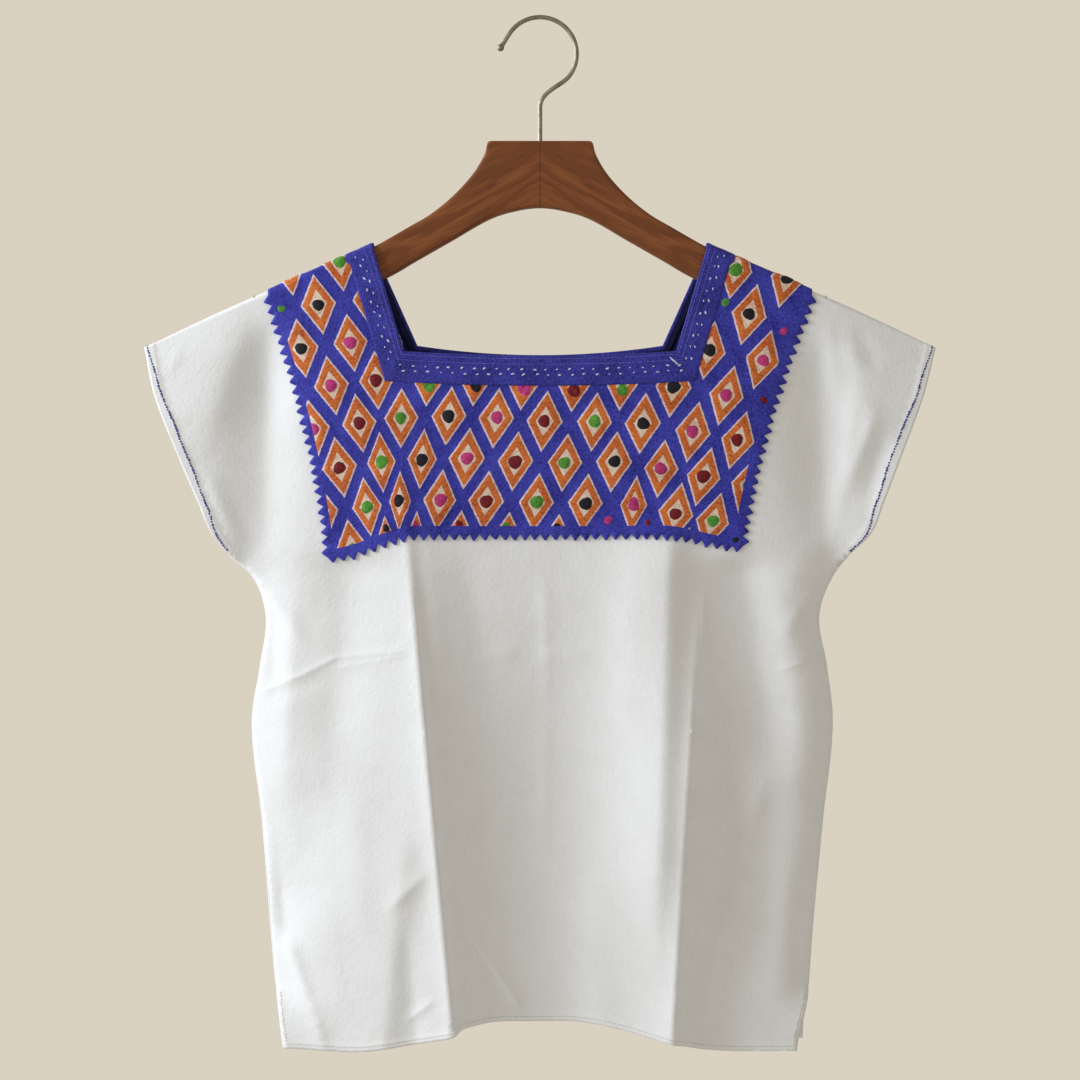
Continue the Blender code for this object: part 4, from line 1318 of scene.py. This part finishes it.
@dataclass
class EmbroideredYoke:
    """The blue yoke of one side, whose net follows its diamonds and its toothed edge."""

    panel: Panel
    lattice: Lattice
    threads: list[Material]
    layer: float = 1.3 * MM
    wall: float = 0.8 * MM
    spacing: float = 2.5 * MM
    border: float = 6 * MM
    left_border_share: float = 0.55
    border_rise: float = 0.25 * MM
    tuck: float = 0.3 * MM
    tuck_over: float = 8 * MM
    border_fade: float = 1.2 * MM
    band_fade: float = 0.8 * MM
    remnant_rise: float = 0.45 * MM
    remnant_core_rise: float = 0.75 * MM
    remnant_core_share: float = 0.55

    def build(self) -> Object:
        """Lays out, hangs and dresses the yoke."""
        panel, side = self.panel, self.panel.side
        edge = panel.yoke_line(0.0, panel.tooth_pitch, True)
        neck = panel.neck_line(0.0)
        tops = [panel.shoulder.top_line(sign, panel.yoke_top_x, self.spacing) for sign in (-1, 1)]
        outline = np.concatenate([edge, tops[1][::-1], neck[::-1], tops[0]])
        border = panel.yoke_line(self.border, self.spacing, False, self.left_border_share)
        band = panel.neck_line(1.0)
        rings = self.remnant_rings()
        bends = panel.shoulder.bend_lines(panel.shoulder.neck_x, panel.yoke_top_x, self.spacing)
        lines = [border, band, *self.diamond_lines(outline), *rings, *bends]
        net = Net(outline, lines, self.spacing)
        places, out = panel.place(net.points), panel.normals(net.points)
        inner_border, band_area = closed_above(border), closed_above(band)
        slots, _ = self.lattice.read(net.middles[:, 0], panel.shoulder.height(net.middles))
        slots[~inside(net.middles, inner_border)] = Patch.GROUND
        _, rise = self.lattice.read(net.points[:, 0], panel.shoulder.height(net.points))
        to_border = distance_to(net.points, border)
        in_border = ~inside(net.points, inner_border)
        edge_fade = smooth_step(to_border / self.border_fade)
        rise = np.where(in_border, self.border_rise * edge_fade, rise * edge_fade)
        to_band = distance_to(net.points, band)
        rise = np.where(inside(net.points, band_area), 0.0, rise * smooth_step(to_band / self.band_fade))
        for spot, ring, core in zip(REMNANTS, rings[::2], rings[1::2]):
            slots[inside(net.middles, ring)] = DOT_PATCHES[spot.colour]
            rise = np.where(inside(net.points, ring), self.remnant_rise, rise)
            rise = np.where(inside(net.points, core), self.remnant_core_rise, rise)
        from_edge = distance_to(net.points, edge)
        middle = self.layer - self.tuck * smooth_step(1 - from_edge / self.tuck_over)
        outer = places + out * (middle + self.wall / 2 + rise)[:, None]
        inner = places + out * (middle - self.wall / 2)[:, None]
        # The inner faces take the wrong side's blue, darkened as painted shade
        made = build_shell(f"{side.value}_embroidered_yoke", net, outer, inner, slots, Patch.REVERSE,
                           self.threads, side is Side.BACK)
        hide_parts(f"{side.value}_yoke")
        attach(made, ROOT)
        self.net, self.places = net, places
        return made

    def diamond_lines(self, outline: Array) -> list[Array]:
        """The lines of every diamond that reaches the yoke, in the layout."""
        found = []
        for n in range(len(self.lattice.spots)):
            laid = [self.panel.shoulder.laid(line[:, 0], line[:, 1]) for line in self.lattice.lines(n)]
            if inside(laid[0], outline).any():
                found += laid
        return found

    def remnant_rings(self) -> list[Array]:
        """Two rings for each remnant, in the layout: its edge and its raised core."""
        turn = np.linspace(0, 2 * math.pi, 13)
        rings = []
        for spot in REMNANTS:
            for share in (1.0, self.remnant_core_share):
                radius = spot.radius * share * (1 + 0.12 * np.sin(2 * turn + spot.x))
                x, z = (spot.x + radius * np.cos(turn)) * MM, (spot.z + radius * np.sin(turn)) * MM
                rings.append(self.panel.shoulder.laid(x, z))
        return rings


@dataclass
class NeckBand:
    """The plain blue band of one side, mitred at the corners and folded over the neck's edge; its folded-in
    flap carries painted shade.
    """

    panel: Panel
    # The band's blue, then a much darker blue for the flap inside the neck: painted shade
    cloths: list[Material]
    outer_height: float = 2.15 * MM
    flap_height: float = 0.55 * MM
    flap_share: float = 0.36
    wall: float = 0.5 * MM
    pucker: float = 0.13 * MM
    pucker_pitch: float = 8.9 * MM
    small_pucker: float = 5.3 * MM
    sink: float = 0.18 * MM
    sink_from: float = 0.9
    rows: int = 16
    flap_rows: int = 5
    roll_steps: int = 7

    def build(self) -> Object:
        """Builds the band as a folded strip."""
        panel, side = self.panel, self.panel.side
        rows = []
        edge = panel.neck_line(0.0)
        edge_place, edge_out = panel.place(edge), panel.normals(edge)
        away = unit(edge_place - panel.place(panel.neck_line(0.06)))
        run = run_along(edge_place)
        for share in np.linspace(1.0, 0.0, self.rows + 1)[:-1]:
            flat = panel.neck_line(share)
            out = panel.normals(flat)
            sink = self.sink * max(0.0, share - self.sink_from) / (1 - self.sink_from)
            pucker = np.sin(run / self.pucker_pitch * 2 * math.pi + 3.1 * share)
            pucker += 0.7 * np.sin(run / self.small_pucker + 9 * share)
            height = self.outer_height - sink + self.pucker * pucker * math.sin(math.pi * share)
            rows.append((panel.place(flat) + out * height[:, None], out, -share * panel.neck.band_width))
        middle = (self.outer_height + self.flap_height) / 2
        radius = (self.outer_height - self.flap_height) / 2
        for turn in np.linspace(0.0, math.pi, self.roll_steps + 1):
            swing = edge_out * math.cos(turn) + away * math.sin(turn)
            rows.append((edge_place + edge_out * middle + swing * radius, swing, radius * turn))
        for share in np.linspace(0.0, self.flap_share, self.flap_rows + 1)[1:]:
            flat = panel.neck_line(share)
            out = panel.normals(flat)
            across = radius * math.pi + share * panel.neck.band_width
            rows.append((panel.place(flat) + out * self.flap_height, -out, across))
        centre, facing, profile = (np.array(part) for part in zip(*rows))
        made = self.strip(centre, facing, profile, run)
        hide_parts(f"{side.value}_neck_band")
        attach(made, ROOT)
        self.length = float(run[-1])
        self.width = float(profile[-1] - profile[0])
        return made

    def strip(self, centre: Array, facing: Array, profile: Array, run: Array) -> Object:
        """A closed thin strip.

        Args:
            centre: Places in the middle of its wall, rows by columns.
            facing: Its outward directions there.
            profile: Distance of each row across the strip.
            run: Distance of each column along it.

        Returns:
            The object.
        """
        rows, columns = centre.shape[:2]
        outer = (centre + facing * self.wall / 2).reshape(-1, 3)
        inner = (centre - facing * self.wall / 2).reshape(-1, 3)
        number = np.arange(rows * columns).reshape(rows, columns)
        a, b = number[:-1, :-1].ravel(), number[:-1, 1:].ravel()
        c, d = number[1:, 1:].ravel(), number[1:, :-1].ravel()
        front = joined(a, b, c, d)
        total = rows * columns
        loop = np.concatenate([number[0], number[1:, -1], number[-1, -2::-1], number[-2:0:-1, 0]])
        after = np.roll(loop, -1)
        rim = joined(after, loop, loop + total, after + total)
        faces = np.concatenate([front, front[:, ::-1] + total, rim])
        rows_of_face = np.repeat(np.arange(rows - 1), columns - 1)
        slots = np.zeros(len(faces), int)
        # The flap's faces, turned to the inside of the neck, take the darker second cloth as painted shade
        slots[:len(front)] = rows_of_face > self.rows + self.roll_steps
        if self.panel.side is Side.BACK:
            faces = faces[:, ::-1]
        flat = np.stack(np.meshgrid(run, profile), axis=-1).reshape(-1, 2)
        return build_mesh(f"{self.panel.side.value}_band", np.concatenate([outer, inner]), faces.tolist(),
                          np.concatenate([flat, flat]), slots, self.cloths, len(rim))


@dataclass(frozen=True)
class Stitch:
    """The size of one stitch as it lies on the cloth."""

    length: float
    width: float
    height: float
    sides: int = 6

    def shape(self) -> tuple[Array, list[list[int]]]:
        """Vertices along x with z up, and faces."""
        stations = ((-0.5, 0.35), (-0.3, 0.9), (0.0, 1.0), (0.3, 0.9), (0.5, 0.35))
        turns = np.arange(self.sides) * 2 * math.pi / self.sides
        vertices = []
        for along, girth in stations:
            for turn in turns:
                vertices.append((along * self.length, girth * self.width / 2 * math.cos(turn),
                                 girth * self.height / 2 * math.sin(turn)))
        return np.array(vertices), tube_faces(len(stations), self.sides)


@dataclass
class StitchRow:
    """Stitches laid along lines on the cloth, joined as one piece."""

    name: str
    stitch: Stitch
    thread: Material
    pitch: float
    slant_deg: float = 0.0
    spread_deg: float = 6.0
    uneven: float = 0.12
    stray: float = 0.1 * MM
    seed: int = SEED
    vertices: list[Array] = field(default_factory=list)
    faces: list[list[int]] = field(default_factory=list)
    uvs: list[Array] = field(default_factory=list)
    count: int = 0

    def sew(self, panel: Panel, line: Array, lift: float, shift: float = 0.0) -> None:
        """Adds stitches along a line.

        Args:
            panel: The side that carries them.
            line: Layout points, close together.
            lift: Height of their middles over the middle of the cloth.
            shift: Where the first one starts, as a share of the pitch.
        """
        rng = np.random.default_rng(self.seed + self.count)
        places = panel.place(line)
        run = run_along(places)
        stops = np.arange((0.5 + shift) * self.pitch, run[-1] - self.pitch * 0.3, self.pitch)
        stops = stops + rng.uniform(-0.1, 0.1, len(stops)) * self.pitch
        back, flat, ahead = (at_runs(stops + step, run, line) for step in (-0.4 * MM, 0.0, 0.4 * MM))
        out = panel.normals(flat)
        along = unit(panel.place(ahead) - panel.place(back))
        side = np.cross(out, along)
        turn = np.radians(self.slant_deg + rng.uniform(-1, 1, len(stops)) * self.spread_deg)[:, None]
        along = unit(along * np.cos(turn) + side * np.sin(turn))
        side = unit(np.cross(out, along))
        up = np.cross(along, side)
        centre = panel.place(flat) + out * lift + side * rng.uniform(-1, 1, (len(stops), 1)) * self.stray
        base, faces = self.stitch.shape()
        size = rng.uniform(1 - self.uneven, 1 + self.uneven, len(stops))[:, None, None]
        axes = (along, side, up)
        made = centre[:, None] + size * sum(base[None, :, k:k + 1] * axes[k][:, None] for k in range(3))
        for n in range(len(stops)):
            self.faces += [[k + self.count for k in face] for face in faces]
            self.vertices.append(made[n])
            self.uvs.append(flat[n] + base[:, :2])
            self.count += len(base)

    def build(self) -> Object:
        """Joins the stitches into one piece."""
        made = build_mesh(self.name, np.concatenate(self.vertices), self.faces, np.concatenate(self.uvs),
                          np.zeros(len(self.faces), int), [self.thread])
        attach(made, ROOT)
        return made


# Short white dashes beside the remnants: place and direction in the front view
DASHES_MM = ((-196.5, -211.6, 0.82, -0.57), (185.5, -229.0, 0.8, 0.6), (170.4, -280.8, 0.6, 0.8),
             (52.0, -371.4, 0.9, 0.44), (162.9, -294.0, 0.5, 0.86))


@dataclass
class Sewing:
    """All the stitching that shows, and the cords of cloth along the side seams."""

    panels: dict[Side, Panel]
    navy: Material
    white: Material
    sky: Material
    tan: Material
    cotton: Material
    cloth_top: float = 0.7 * MM
    band_top: float = 2.5 * MM
    yoke_top: float = 1.95 * MM
    seam_radius: float = 0.95 * MM
    seam_sides: int = 10
    hem_row: float = 3.4 * MM
    vent_row: float = 3.2 * MM
    fray: tuple[int, int] = (38, 45)
    dash_half_mm: float = 3

    def cuffs(self) -> Object:
        """The close blue stitching along the four cuff edges, a little unsteady as sewn by hand."""
        row = StitchRow("cuff_stitches", Stitch(1.9 * MM, 1.55 * MM, 0.9 * MM), self.navy, 2.15 * MM,
                        spread_deg=14, uneven=0.2, stray=0.3 * MM)
        for panel in self.panels.values():
            for sign in (-1, 1):
                top = float(panel.shoulder.foot_z(panel.shoulder.sleeve_tip_x - 3 * MM))
                z = spaced(top, panel.cuff_bottom_z + 3 * MM, 1.5 * MM)
                share = (top - z) / (top - panel.cuff_bottom_z)
                inset = (2.6 + 4.6 * np.sin(math.pi * np.clip(share, 0, 1)) ** 0.8 - 1.6 * share ** 4) * MM
                inset += 0.35 * MM * np.sin(z / (5.5 * MM)) + 0.25 * MM * np.sin(z / (13 * MM) + sign)
                x = sign * (panel.half_width(sign, z) - inset)
                line = panel.shoulder.laid(x, z)
                over = panel.shoulder.over(float(x[0]))
                row.sew(panel, np.concatenate([over, line[1:]]), self.cloth_top)
        return row.build()

    def hems(self) -> Object:
        """The fine tan machine stitching along the hem and the vents."""
        row = StitchRow("hem_stitches", Stitch(1.7 * MM, 0.5 * MM, 0.35 * MM), self.tan, 2.4 * MM)
        for panel in self.panels.values():
            x = panel.hem_x(2.5 * MM, 2 * MM)
            row.sew(panel, panel.shoulder.laid(x, panel.hem_z(x) + self.hem_row), self.cloth_top)
            for sign in (-1, 1):
                z = spaced(panel.vent_top_z - 1 * MM, panel.hem.side + 5 * MM, 2 * MM)
                x = sign * (panel.half_width(sign, z) - self.vent_row)
                row.sew(panel, panel.shoulder.laid(x, z), 0.45 * MM)
        return row.build()

    def running(self) -> Object:
        """The two staggered rows of white running stitches on the band."""
        row = StitchRow("band_stitches", Stitch(2.0 * MM, 1.1 * MM, 0.7 * MM), self.white, 9.0 * MM,
                        slant_deg=12, spread_deg=24, uneven=0.35, stray=0.45 * MM)
        for panel in self.panels.values():
            corner = len(panel.shoulder.over(panel.shoulder.neck_x)) + panel.strap_parts - 1
            for share, shift in ((0.44, 0.0), (0.62, 0.5)):
                line = panel.neck_line(share)
                for part in (line[:corner + 1], line[corner:-corner], line[-corner - 1:]):
                    row.sew(panel, part, self.band_top, shift)
        row.stitch = Stitch(6.5 * MM, 1.0 * MM, 0.6 * MM)
        row.slant_deg = row.spread_deg = 0
        front = self.panels[Side.FRONT]
        ends = front.shoulder.laid(np.array([97.5, 107.5]) * MM, np.array([-254.5, -263.5]) * MM)
        row.sew(front, np.linspace(ends[0], ends[1], 8), self.band_top)
        row.stitch = Stitch(3.2 * MM, 0.9 * MM, 0.6 * MM)
        for x, z, along_x, along_z in DASHES_MM:
            halves = np.array((-self.dash_half_mm, self.dash_half_mm))
            start, end = front.shoulder.laid((x + halves * along_x) * MM, (z + halves * along_z) * MM)
            row.sew(front, np.linspace(start, end, 6), self.yoke_top)
        row.stitch = Stitch(1.1 * MM, 0.55 * MM, 0.4 * MM)
        row.pitch, row.spread_deg, row.stray = 1.1 * MM, 80, 0.8 * MM
        row.sew(front, front.neck_line(0.0)[slice(*self.fray)] + [0.7 * MM, 0.0], 0.9 * MM)
        return row.build()

    def edge_rows(self) -> Object:
        """The pale blue machine stitching just inside the neck's edge."""
        row = StitchRow("neck_edge_stitches", Stitch(2.0 * MM, 0.5 * MM, 0.4 * MM), self.sky, 2.3 * MM)
        for panel in self.panels.values():
            row.sew(panel, panel.neck_line(0.075), self.band_top - 0.02 * MM)
            row.sew(panel, panel.neck_line(0.26), self.band_top - 0.08 * MM)
        return row.build()

    def seams(self) -> Object:
        """The closed seams from the cuffs round the underarms to the vents, as narrow rolls of cloth."""
        panel = self.panels[Side.BACK]
        vertices, faces, uvs, count = [], [], [], 0
        sides = self.seam_sides
        turns = np.arange(sides) * 2 * math.pi / sides
        depth = np.array([0.0, 1.0, 0.0])
        for sign in (-1, 1):
            z = spaced(panel.cuff_bottom_z + 2 * MM, panel.vent_top_z, 2.5 * MM)
            line = joined(sign * (panel.half_width(sign, z) - 0.3 * MM), np.zeros(len(z)), z)
            side = unit(np.cross(unit(np.gradient(line, axis=0)), depth))
            girth = np.full(len(z), self.seam_radius)
            girth[[0, -1]] *= 0.3
            ring = np.cos(turns)[None, :, None] * side[:, None] + np.sin(turns)[None, :, None] * depth
            vertices.append((line[:, None] + ring * girth[:, None, None]).reshape(-1, 3))
            flat = np.broadcast_arrays(turns[None] * self.seam_radius, run_along(line)[:, None])
            uvs.append(np.stack(flat, axis=-1).reshape(-1, 2))
            faces += tube_faces(len(z), sides, count, True)
            count += len(z) * sides
        made = build_mesh("side_seams", np.concatenate(vertices), faces, np.concatenate(uvs),
                          np.zeros(len(faces), int), [self.cotton])
        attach(made, ROOT)
        return made


def deselect() -> None:
    """Leaves nothing selected."""
    bpy.ops.object.select_all(action="DESELECT")


def link(made: Object) -> None:
    """Puts an object into the scene."""
    bpy.context.scene.collection.objects.link(made)


def select_only(made: Object) -> None:
    """Makes one object the only selected and the active one."""
    deselect()
    made.select_set(True)
    bpy.context.view_layer.objects.active = made


def apply_place(made: Object) -> None:
    """Moves an object's place, turn and size into its mesh."""
    select_only(made)
    bpy.ops.object.transform_apply(location=True, rotation=True, scale=True)


def smooth_through(points: Array, parts: int) -> Array:
    """A smooth line through points, with a number of parts between each two."""
    ends = np.concatenate([points[:1], points, points[-1:]])
    line = []
    for a, b, c, d in zip(ends, ends[1:], ends[2:], ends[3:]):
        for t in np.arange(parts) / parts:
            curl, twist = 2 * a - 5 * b + 4 * c - d, 3 * b - a - 3 * c + d
            line.append(b + 0.5 * t * (c - a + t * (curl + t * twist)))
    return np.array([*line, points[-1]])


def even_along(line: Array, count: int) -> Array:
    """Points evenly spaced along a line."""
    run = run_along(line)
    return at_runs(np.linspace(0.0, run[-1], count), run, line)


@dataclass
class WoodenHanger:
    """The flat hanger: a plate cut to its outline, thickened, and rounded along its edges."""

    wood: Material
    shoulder: Shoulder = field(default_factory=Shoulder)
    top_z: float = -91.5 * MM
    head_half: float = 40 * MM
    head_corner: float = 3 * MM
    half_depth: float = 6 * MM
    edge_radius: float = 2.9 * MM
    tip_height: float = 17 * MM
    tip_round: float = 5 * MM
    tip_set_in: float = 1.5 * MM
    to_cloth: float = 1.1 * MM
    columns: int = 110
    upper_mm: tuple = ((40, -94.5), (42, -102), (49, -114.4), (59, -126.4), (70, -137), (83.5, -147.4),
                       (98, -155.8))
    lower_mm: tuple = ((-18, -143.6), (0, -141.3), (18, -143.6), (38, -150), (66, -166), (92, -180.8),
                       (115, -194), (160, -215))

    def edges(self) -> tuple[Array, Array]:
        """The upper and lower edges of the right half, each from the middle to the arm's tip."""
        tip_x = self.shoulder.arm_tip_x - self.tip_set_in
        tip_z = float(self.shoulder.crest_z(tip_x)) - self.to_cloth
        arm_x = np.linspace(self.shoulder.neck_x, tip_x - self.tip_round, 5)
        arm = joined(arm_x, self.shoulder.crest_z(arm_x) - self.to_cloth)
        curve = smooth_through(np.concatenate([np.array(self.upper_mm) * MM, arm]), 8)
        turns = np.radians(np.arange(0, 91, 15))
        corner = joined(self.head_half - self.head_corner * (1 - np.sin(turns)),
                        self.top_z - self.head_corner * (1 - np.cos(turns)))
        half = self.tip_height / 2
        turns = np.radians(np.array([75, 50, 25, 8]))
        tip_x_of = tip_x - self.tip_round * (1 - np.cos(turns))
        over = joined(tip_x_of, tip_z - half * (1 - np.sin(turns)))
        under = joined(tip_x_of, tip_z - half * (1 + np.sin(turns)))
        upper = np.concatenate([[[0.0, self.top_z]], corner[:-1], curve, over])
        lower = smooth_through(np.array(self.lower_mm) * MM, 8)[8:]
        return upper, np.concatenate([lower, under])

    def build(self) -> Object:
        """Shapes a grid to the outline, thickens it and rounds its edges."""
        upper, lower = (even_along(edge, self.columns + 1) for edge in self.edges())
        deselect()
        bpy.ops.mesh.primitive_grid_add(x_subdivisions=2 * self.columns, y_subdivisions=4, size=1.0)
        made = bpy.context.active_object
        made.name = "walnut_hanger"
        for vertex in made.data.vertices:
            column = round((vertex.co.x + 0.5) * 2 * self.columns) - self.columns
            share = vertex.co.y + 0.5
            spot = lower[abs(column)] + (upper[abs(column)] - lower[abs(column)]) * share
            vertex.co = (math.copysign(spot[0], column), self.half_depth, spot[1])
        bpy.ops.object.mode_set(mode="EDIT")
        bpy.ops.mesh.select_all(action="SELECT")
        bpy.ops.mesh.extrude_region_move(TRANSFORM_OT_translate={"value": (0, -2 * self.half_depth, 0)})
        bpy.ops.mesh.select_all(action="SELECT")
        bpy.ops.mesh.normals_make_consistent(inside=False)
        bpy.ops.object.mode_set(mode="OBJECT")
        rounded = made.modifiers.new("Rounded edges", "BEVEL")
        rounded.width = self.edge_radius
        rounded.segments = 5
        rounded.limit_method = "ANGLE"
        rounded.angle_limit = math.radians(60)
        rounded.use_clamp_overlap = False
        select_only(made)
        bpy.ops.object.modifier_apply(modifier=rounded.name)
        bpy.ops.object.shade_smooth_by_angle(angle=math.radians(40))
        made.data.materials.append(self.wood)
        apply_place(made)
        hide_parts("hanger_bar")
        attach(made, ROOT)
        return made


@dataclass
class WireHook:
    """The round wire hook with a ball at its tip and its stem in the wood."""

    metal: Material
    wire: float = 1.7 * MM
    crook: float = 27.5 * MM
    start_deg: float = 148
    end_deg: float = -38
    tail: float = 14.5 * MM
    ball: float = 2.7 * MM
    crook_lead: float = 9 * MM
    stem_lead: float = 12 * MM
    stem_top_z: float = -66 * MM
    stem_end_z: float = -117.2 * MM

    def stations(self) -> tuple[Array, Array]:
        """Points along the wire from the ball to the foot of the stem, and the radius at each."""
        centre = np.array([0.0, self.wire - self.crook])
        start, end = math.radians(self.start_deg), math.radians(self.end_deg)
        first = centre + self.crook * np.array([math.cos(start), math.sin(start)])
        back = np.array([-math.sin(start), math.cos(start)])
        tip = first + back * self.tail
        points, radii = [], []
        for turn in np.radians(np.arange(6, 172, 10)):
            radius = self.ball * math.sin(turn)
            if turn < math.pi / 2 or radius > self.wire:
                points.append(tip - back * self.ball * (1 - math.cos(turn)))
                radii.append(radius)
        tail = [tip - back * self.tail * share for share in (0.4, 0.6, 0.8)]
        turns = np.linspace(start, end, 72)
        round_part = centre + self.crook * joined(np.cos(turns), np.sin(turns))
        last = round_part[-1]
        lead = last + np.array([math.sin(end), -math.cos(end)]) * self.crook_lead
        above, foot = np.array([0.0, self.stem_top_z + self.stem_lead]), np.array([0.0, self.stem_top_z])
        t = np.linspace(0, 1, 25)[1:, None]
        bend = (1 - t) ** 3 * last + 3 * t * (1 - t) ** 2 * lead
        bend += 3 * t * t * (1 - t) * above + t ** 3 * foot
        stem = joined(np.zeros(6), np.linspace(self.stem_top_z, self.stem_end_z, 7)[1:])
        plain = np.concatenate([tail, round_part, bend, stem])
        return np.concatenate([points, plain]), np.concatenate([radii, np.full(len(plain), self.wire)])

    def build(self) -> Object:
        """Bends a curve along the stations and gives it the wire's thickness."""
        points, radii = self.stations()
        deselect()
        bpy.ops.curve.primitive_bezier_curve_add()
        made = bpy.context.active_object
        made.name = "wire_hook"
        curve = made.data
        curve.splines.clear()
        curve.bevel_depth = 1.0
        curve.bevel_resolution = 6
        curve.use_fill_caps = True
        spline = curve.splines.new("POLY")
        spline.points.add(len(points) - 1)
        for point, (x, z), radius in zip(spline.points, points, radii):
            point.co = (x, 0.0, z, 1.0)
            point.radius = radius
        curve.materials.append(self.metal)
        select_only(made)
        bpy.ops.object.convert(target="MESH")
        made = bpy.context.active_object
        bpy.ops.object.shade_smooth_by_angle(angle=math.radians(50))
        apply_place(made)
        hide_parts("hanger_hook")
        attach(made, ROOT)
        return made


@dataclass
class Studio:
    """A plain beige surround, a soft key light from the upper left, a pale floor and the camera."""

    distance: float = 2.0
    eye_z: float = -0.3904
    frame_width: float = 0.81
    sensor_mm: float = 36.0
    surround: Colour = (0.70, 0.64, 0.53)
    glow: Colour = (0.42, 0.392, 0.342)
    floor_z: float = -1.6
    floor_radius: float = 0.9
    aim_z: float = -0.42

    def build(self) -> None:
        """Sets up the surround, the lights, the floor and the camera."""
        world = bpy.data.worlds.new("surround")
        world.use_nodes = True
        nodes, links = world.node_tree.nodes, world.node_tree.links
        seen, glow = nodes["Background"], nodes.new("ShaderNodeBackground")
        seen.inputs["Color"].default_value = (*self.surround, 1)
        glow.inputs["Color"].default_value = (*self.glow, 1)
        blend, path = nodes.new("ShaderNodeMixShader"), nodes.new("ShaderNodeLightPath")
        links.new(path.outputs["Is Camera Ray"], blend.inputs[0])
        links.new(glow.outputs[0], blend.inputs[1])
        links.new(seen.outputs[0], blend.inputs[2])
        links.new(blend.outputs[0], nodes["World Output"].inputs["Surface"])
        bpy.context.scene.world = world
        bpy.context.scene.view_settings.view_transform = "Standard"
        self.light("key", (-2.2, -0.66, 0.25), 1.3, 62, (0.84, 0.91, 1.0))
        self.light("fill", (1.6, -2.4, 0.2), 1.6, 6, (1.0, 0.95, 0.88))
        self.light("back", (-1.7, 1.9, 0.4), 1.4, 46, (0.88, 0.94, 1.0))
        deselect()
        bpy.ops.mesh.primitive_circle_add(vertices=96, radius=self.floor_radius, fill_type="NGON",
                                          location=(0, 0, self.floor_z))
        floor = bpy.context.active_object
        floor.name = "floor"
        floor.data.materials.append(FloorPaint().make())
        camera = bpy.data.cameras.new("camera")
        camera.sensor_width = self.sensor_mm
        camera.lens = self.sensor_mm * self.distance / self.frame_width
        eye = bpy.data.objects.new("camera", camera)
        eye.location = (0, -self.distance, self.eye_z)
        eye.rotation_euler = (math.radians(90), 0, 0)
        link(eye)
        bpy.context.scene.camera = eye

    def light(self, name: str, place: Triple, size: float, power: float, colour: Colour) -> None:
        """Adds a square soft light that faces the blouse's middle, with its side in metres and its watts."""
        data = bpy.data.lights.new(name, "AREA")
        data.size = size
        data.energy = power
        data.color = colour
        lamp = bpy.data.objects.new(name, data)
        lamp.location = place
        aim = Vector((0, 0, self.aim_z)) - Vector(place)
        lamp.rotation_euler = aim.to_track_quat("-Z", "Y").to_euler()
        link(lamp)


def yoke_threads() -> list[Material]:
    """The yoke's materials, in the order of its patches."""
    rows = {
        Patch.GROUND: ("blue_thread", (0.066, 0.070, 0.54), (0.010, 0.011, 0.20), 40, 4),
        Patch.OUTLINE: ("pale_thread", (0.90, 0.76, 0.74), (0.52, 0.34, 0.37), 60, 2.5),
        Patch.ORANGE: ("orange_thread", (0.84, 0.23, 0.045), (0.36, 0.060, 0.014), 90, 4.5),
        Patch.CREAM: ("cream_thread", (0.90, 0.78, 0.66), (0.60, 0.38, 0.27), 90, 3),
        Patch.GREEN: ("green_thread", (0.13, 0.40, 0.045), (0.035, 0.16, 0.018), 20, 3),
        Patch.BLACK: ("black_thread", (0.014, 0.011, 0.017), (0.003, 0.003, 0.004), 20, 3),
        Patch.PINK: ("pink_thread", (0.66, 0.060, 0.27), (0.30, 0.015, 0.09), 20, 3),
        Patch.DARK_RED: ("dark_red_thread", (0.25, 0.009, 0.017), (0.075, 0.003, 0.006), 20, 3),
        # The yoke's wrong side: its blue made far darker than the ground, as painted shade
        Patch.REVERSE: ("yoke_reverse_painted_shade", (0.02, 0.02, 0.14), (0.004, 0.004, 0.04), 0, 6),
    }
    made = []
    for name, light, dark, turn_deg, run_mm in (rows[patch] for patch in Patch):
        made.append(Thread(name, light, dark, turn_deg, run=run_mm * MM).make())
    return made


def main() -> None:
    """Builds every piece in order and reports it."""
    cotton = Cotton().make()
    threads = yoke_threads()
    band_cloth = Thread("band_cloth", (0.060, 0.060, 0.47), (0.010, 0.010, 0.14), 0, 1.1 * MM, 2.2 * MM,
                        0.5 * MM, 1.7 * MM).make()
    # The inside of the band: the band's blue made much darker, as painted shade inside the neck
    shaded_inside_cloth = Thread("band_inside_painted_shade", (0.012, 0.012, 0.10), (0.003, 0.003, 0.03), 0, run=4 * MM).make()
    lattice = Lattice()
    panels = {side: Panel(side) for side in Side}
    made = []
    for side, panel in panels.items():
        body = BodyPanel(panel, cotton)
        cloth = body.build()
        yoke = EmbroideredYoke(panel, lattice, threads)
        embroidered = yoke.build()
        band = NeckBand(panel, [band_cloth, shaded_inside_cloth])
        strip = band.build()
        made += [cloth, embroidered, strip]
        width, length = body.flat_size()
        net_area(body.net, body.places)
        net_area(yoke.net, yoke.places)
    sewing = Sewing(
        panels,
        navy=Thread("navy_thread", (0.13, 0.135, 0.42), (0.04, 0.042, 0.17), 0).make(),
        white=Thread("white_thread", (0.74, 0.75, 0.88), (0.44, 0.44, 0.68), 0).make(),
        sky=Thread("sky_thread", (0.20, 0.20, 0.66), (0.09, 0.09, 0.45), 0).make(),
        tan=Thread("tan_thread", (0.64, 0.59, 0.52), (0.50, 0.44, 0.37), 0).make(),
        cotton=cotton,
    )
    made += [sewing.cuffs(), sewing.hems(), sewing.running(), sewing.edge_rows(), sewing.seams()]
    made.append(WoodenHanger(Walnut().make()).build())
    made.append(WireHook(Nickel().make()).build())
    Studio().build()
    for piece in made:
        LOG.info("%s: %d faces", piece.name, len(piece.data.polygons))


if __name__ == "__main__":
    logging.basicConfig(level=logging.INFO, format="%(name)s: %(message)s")
    main()
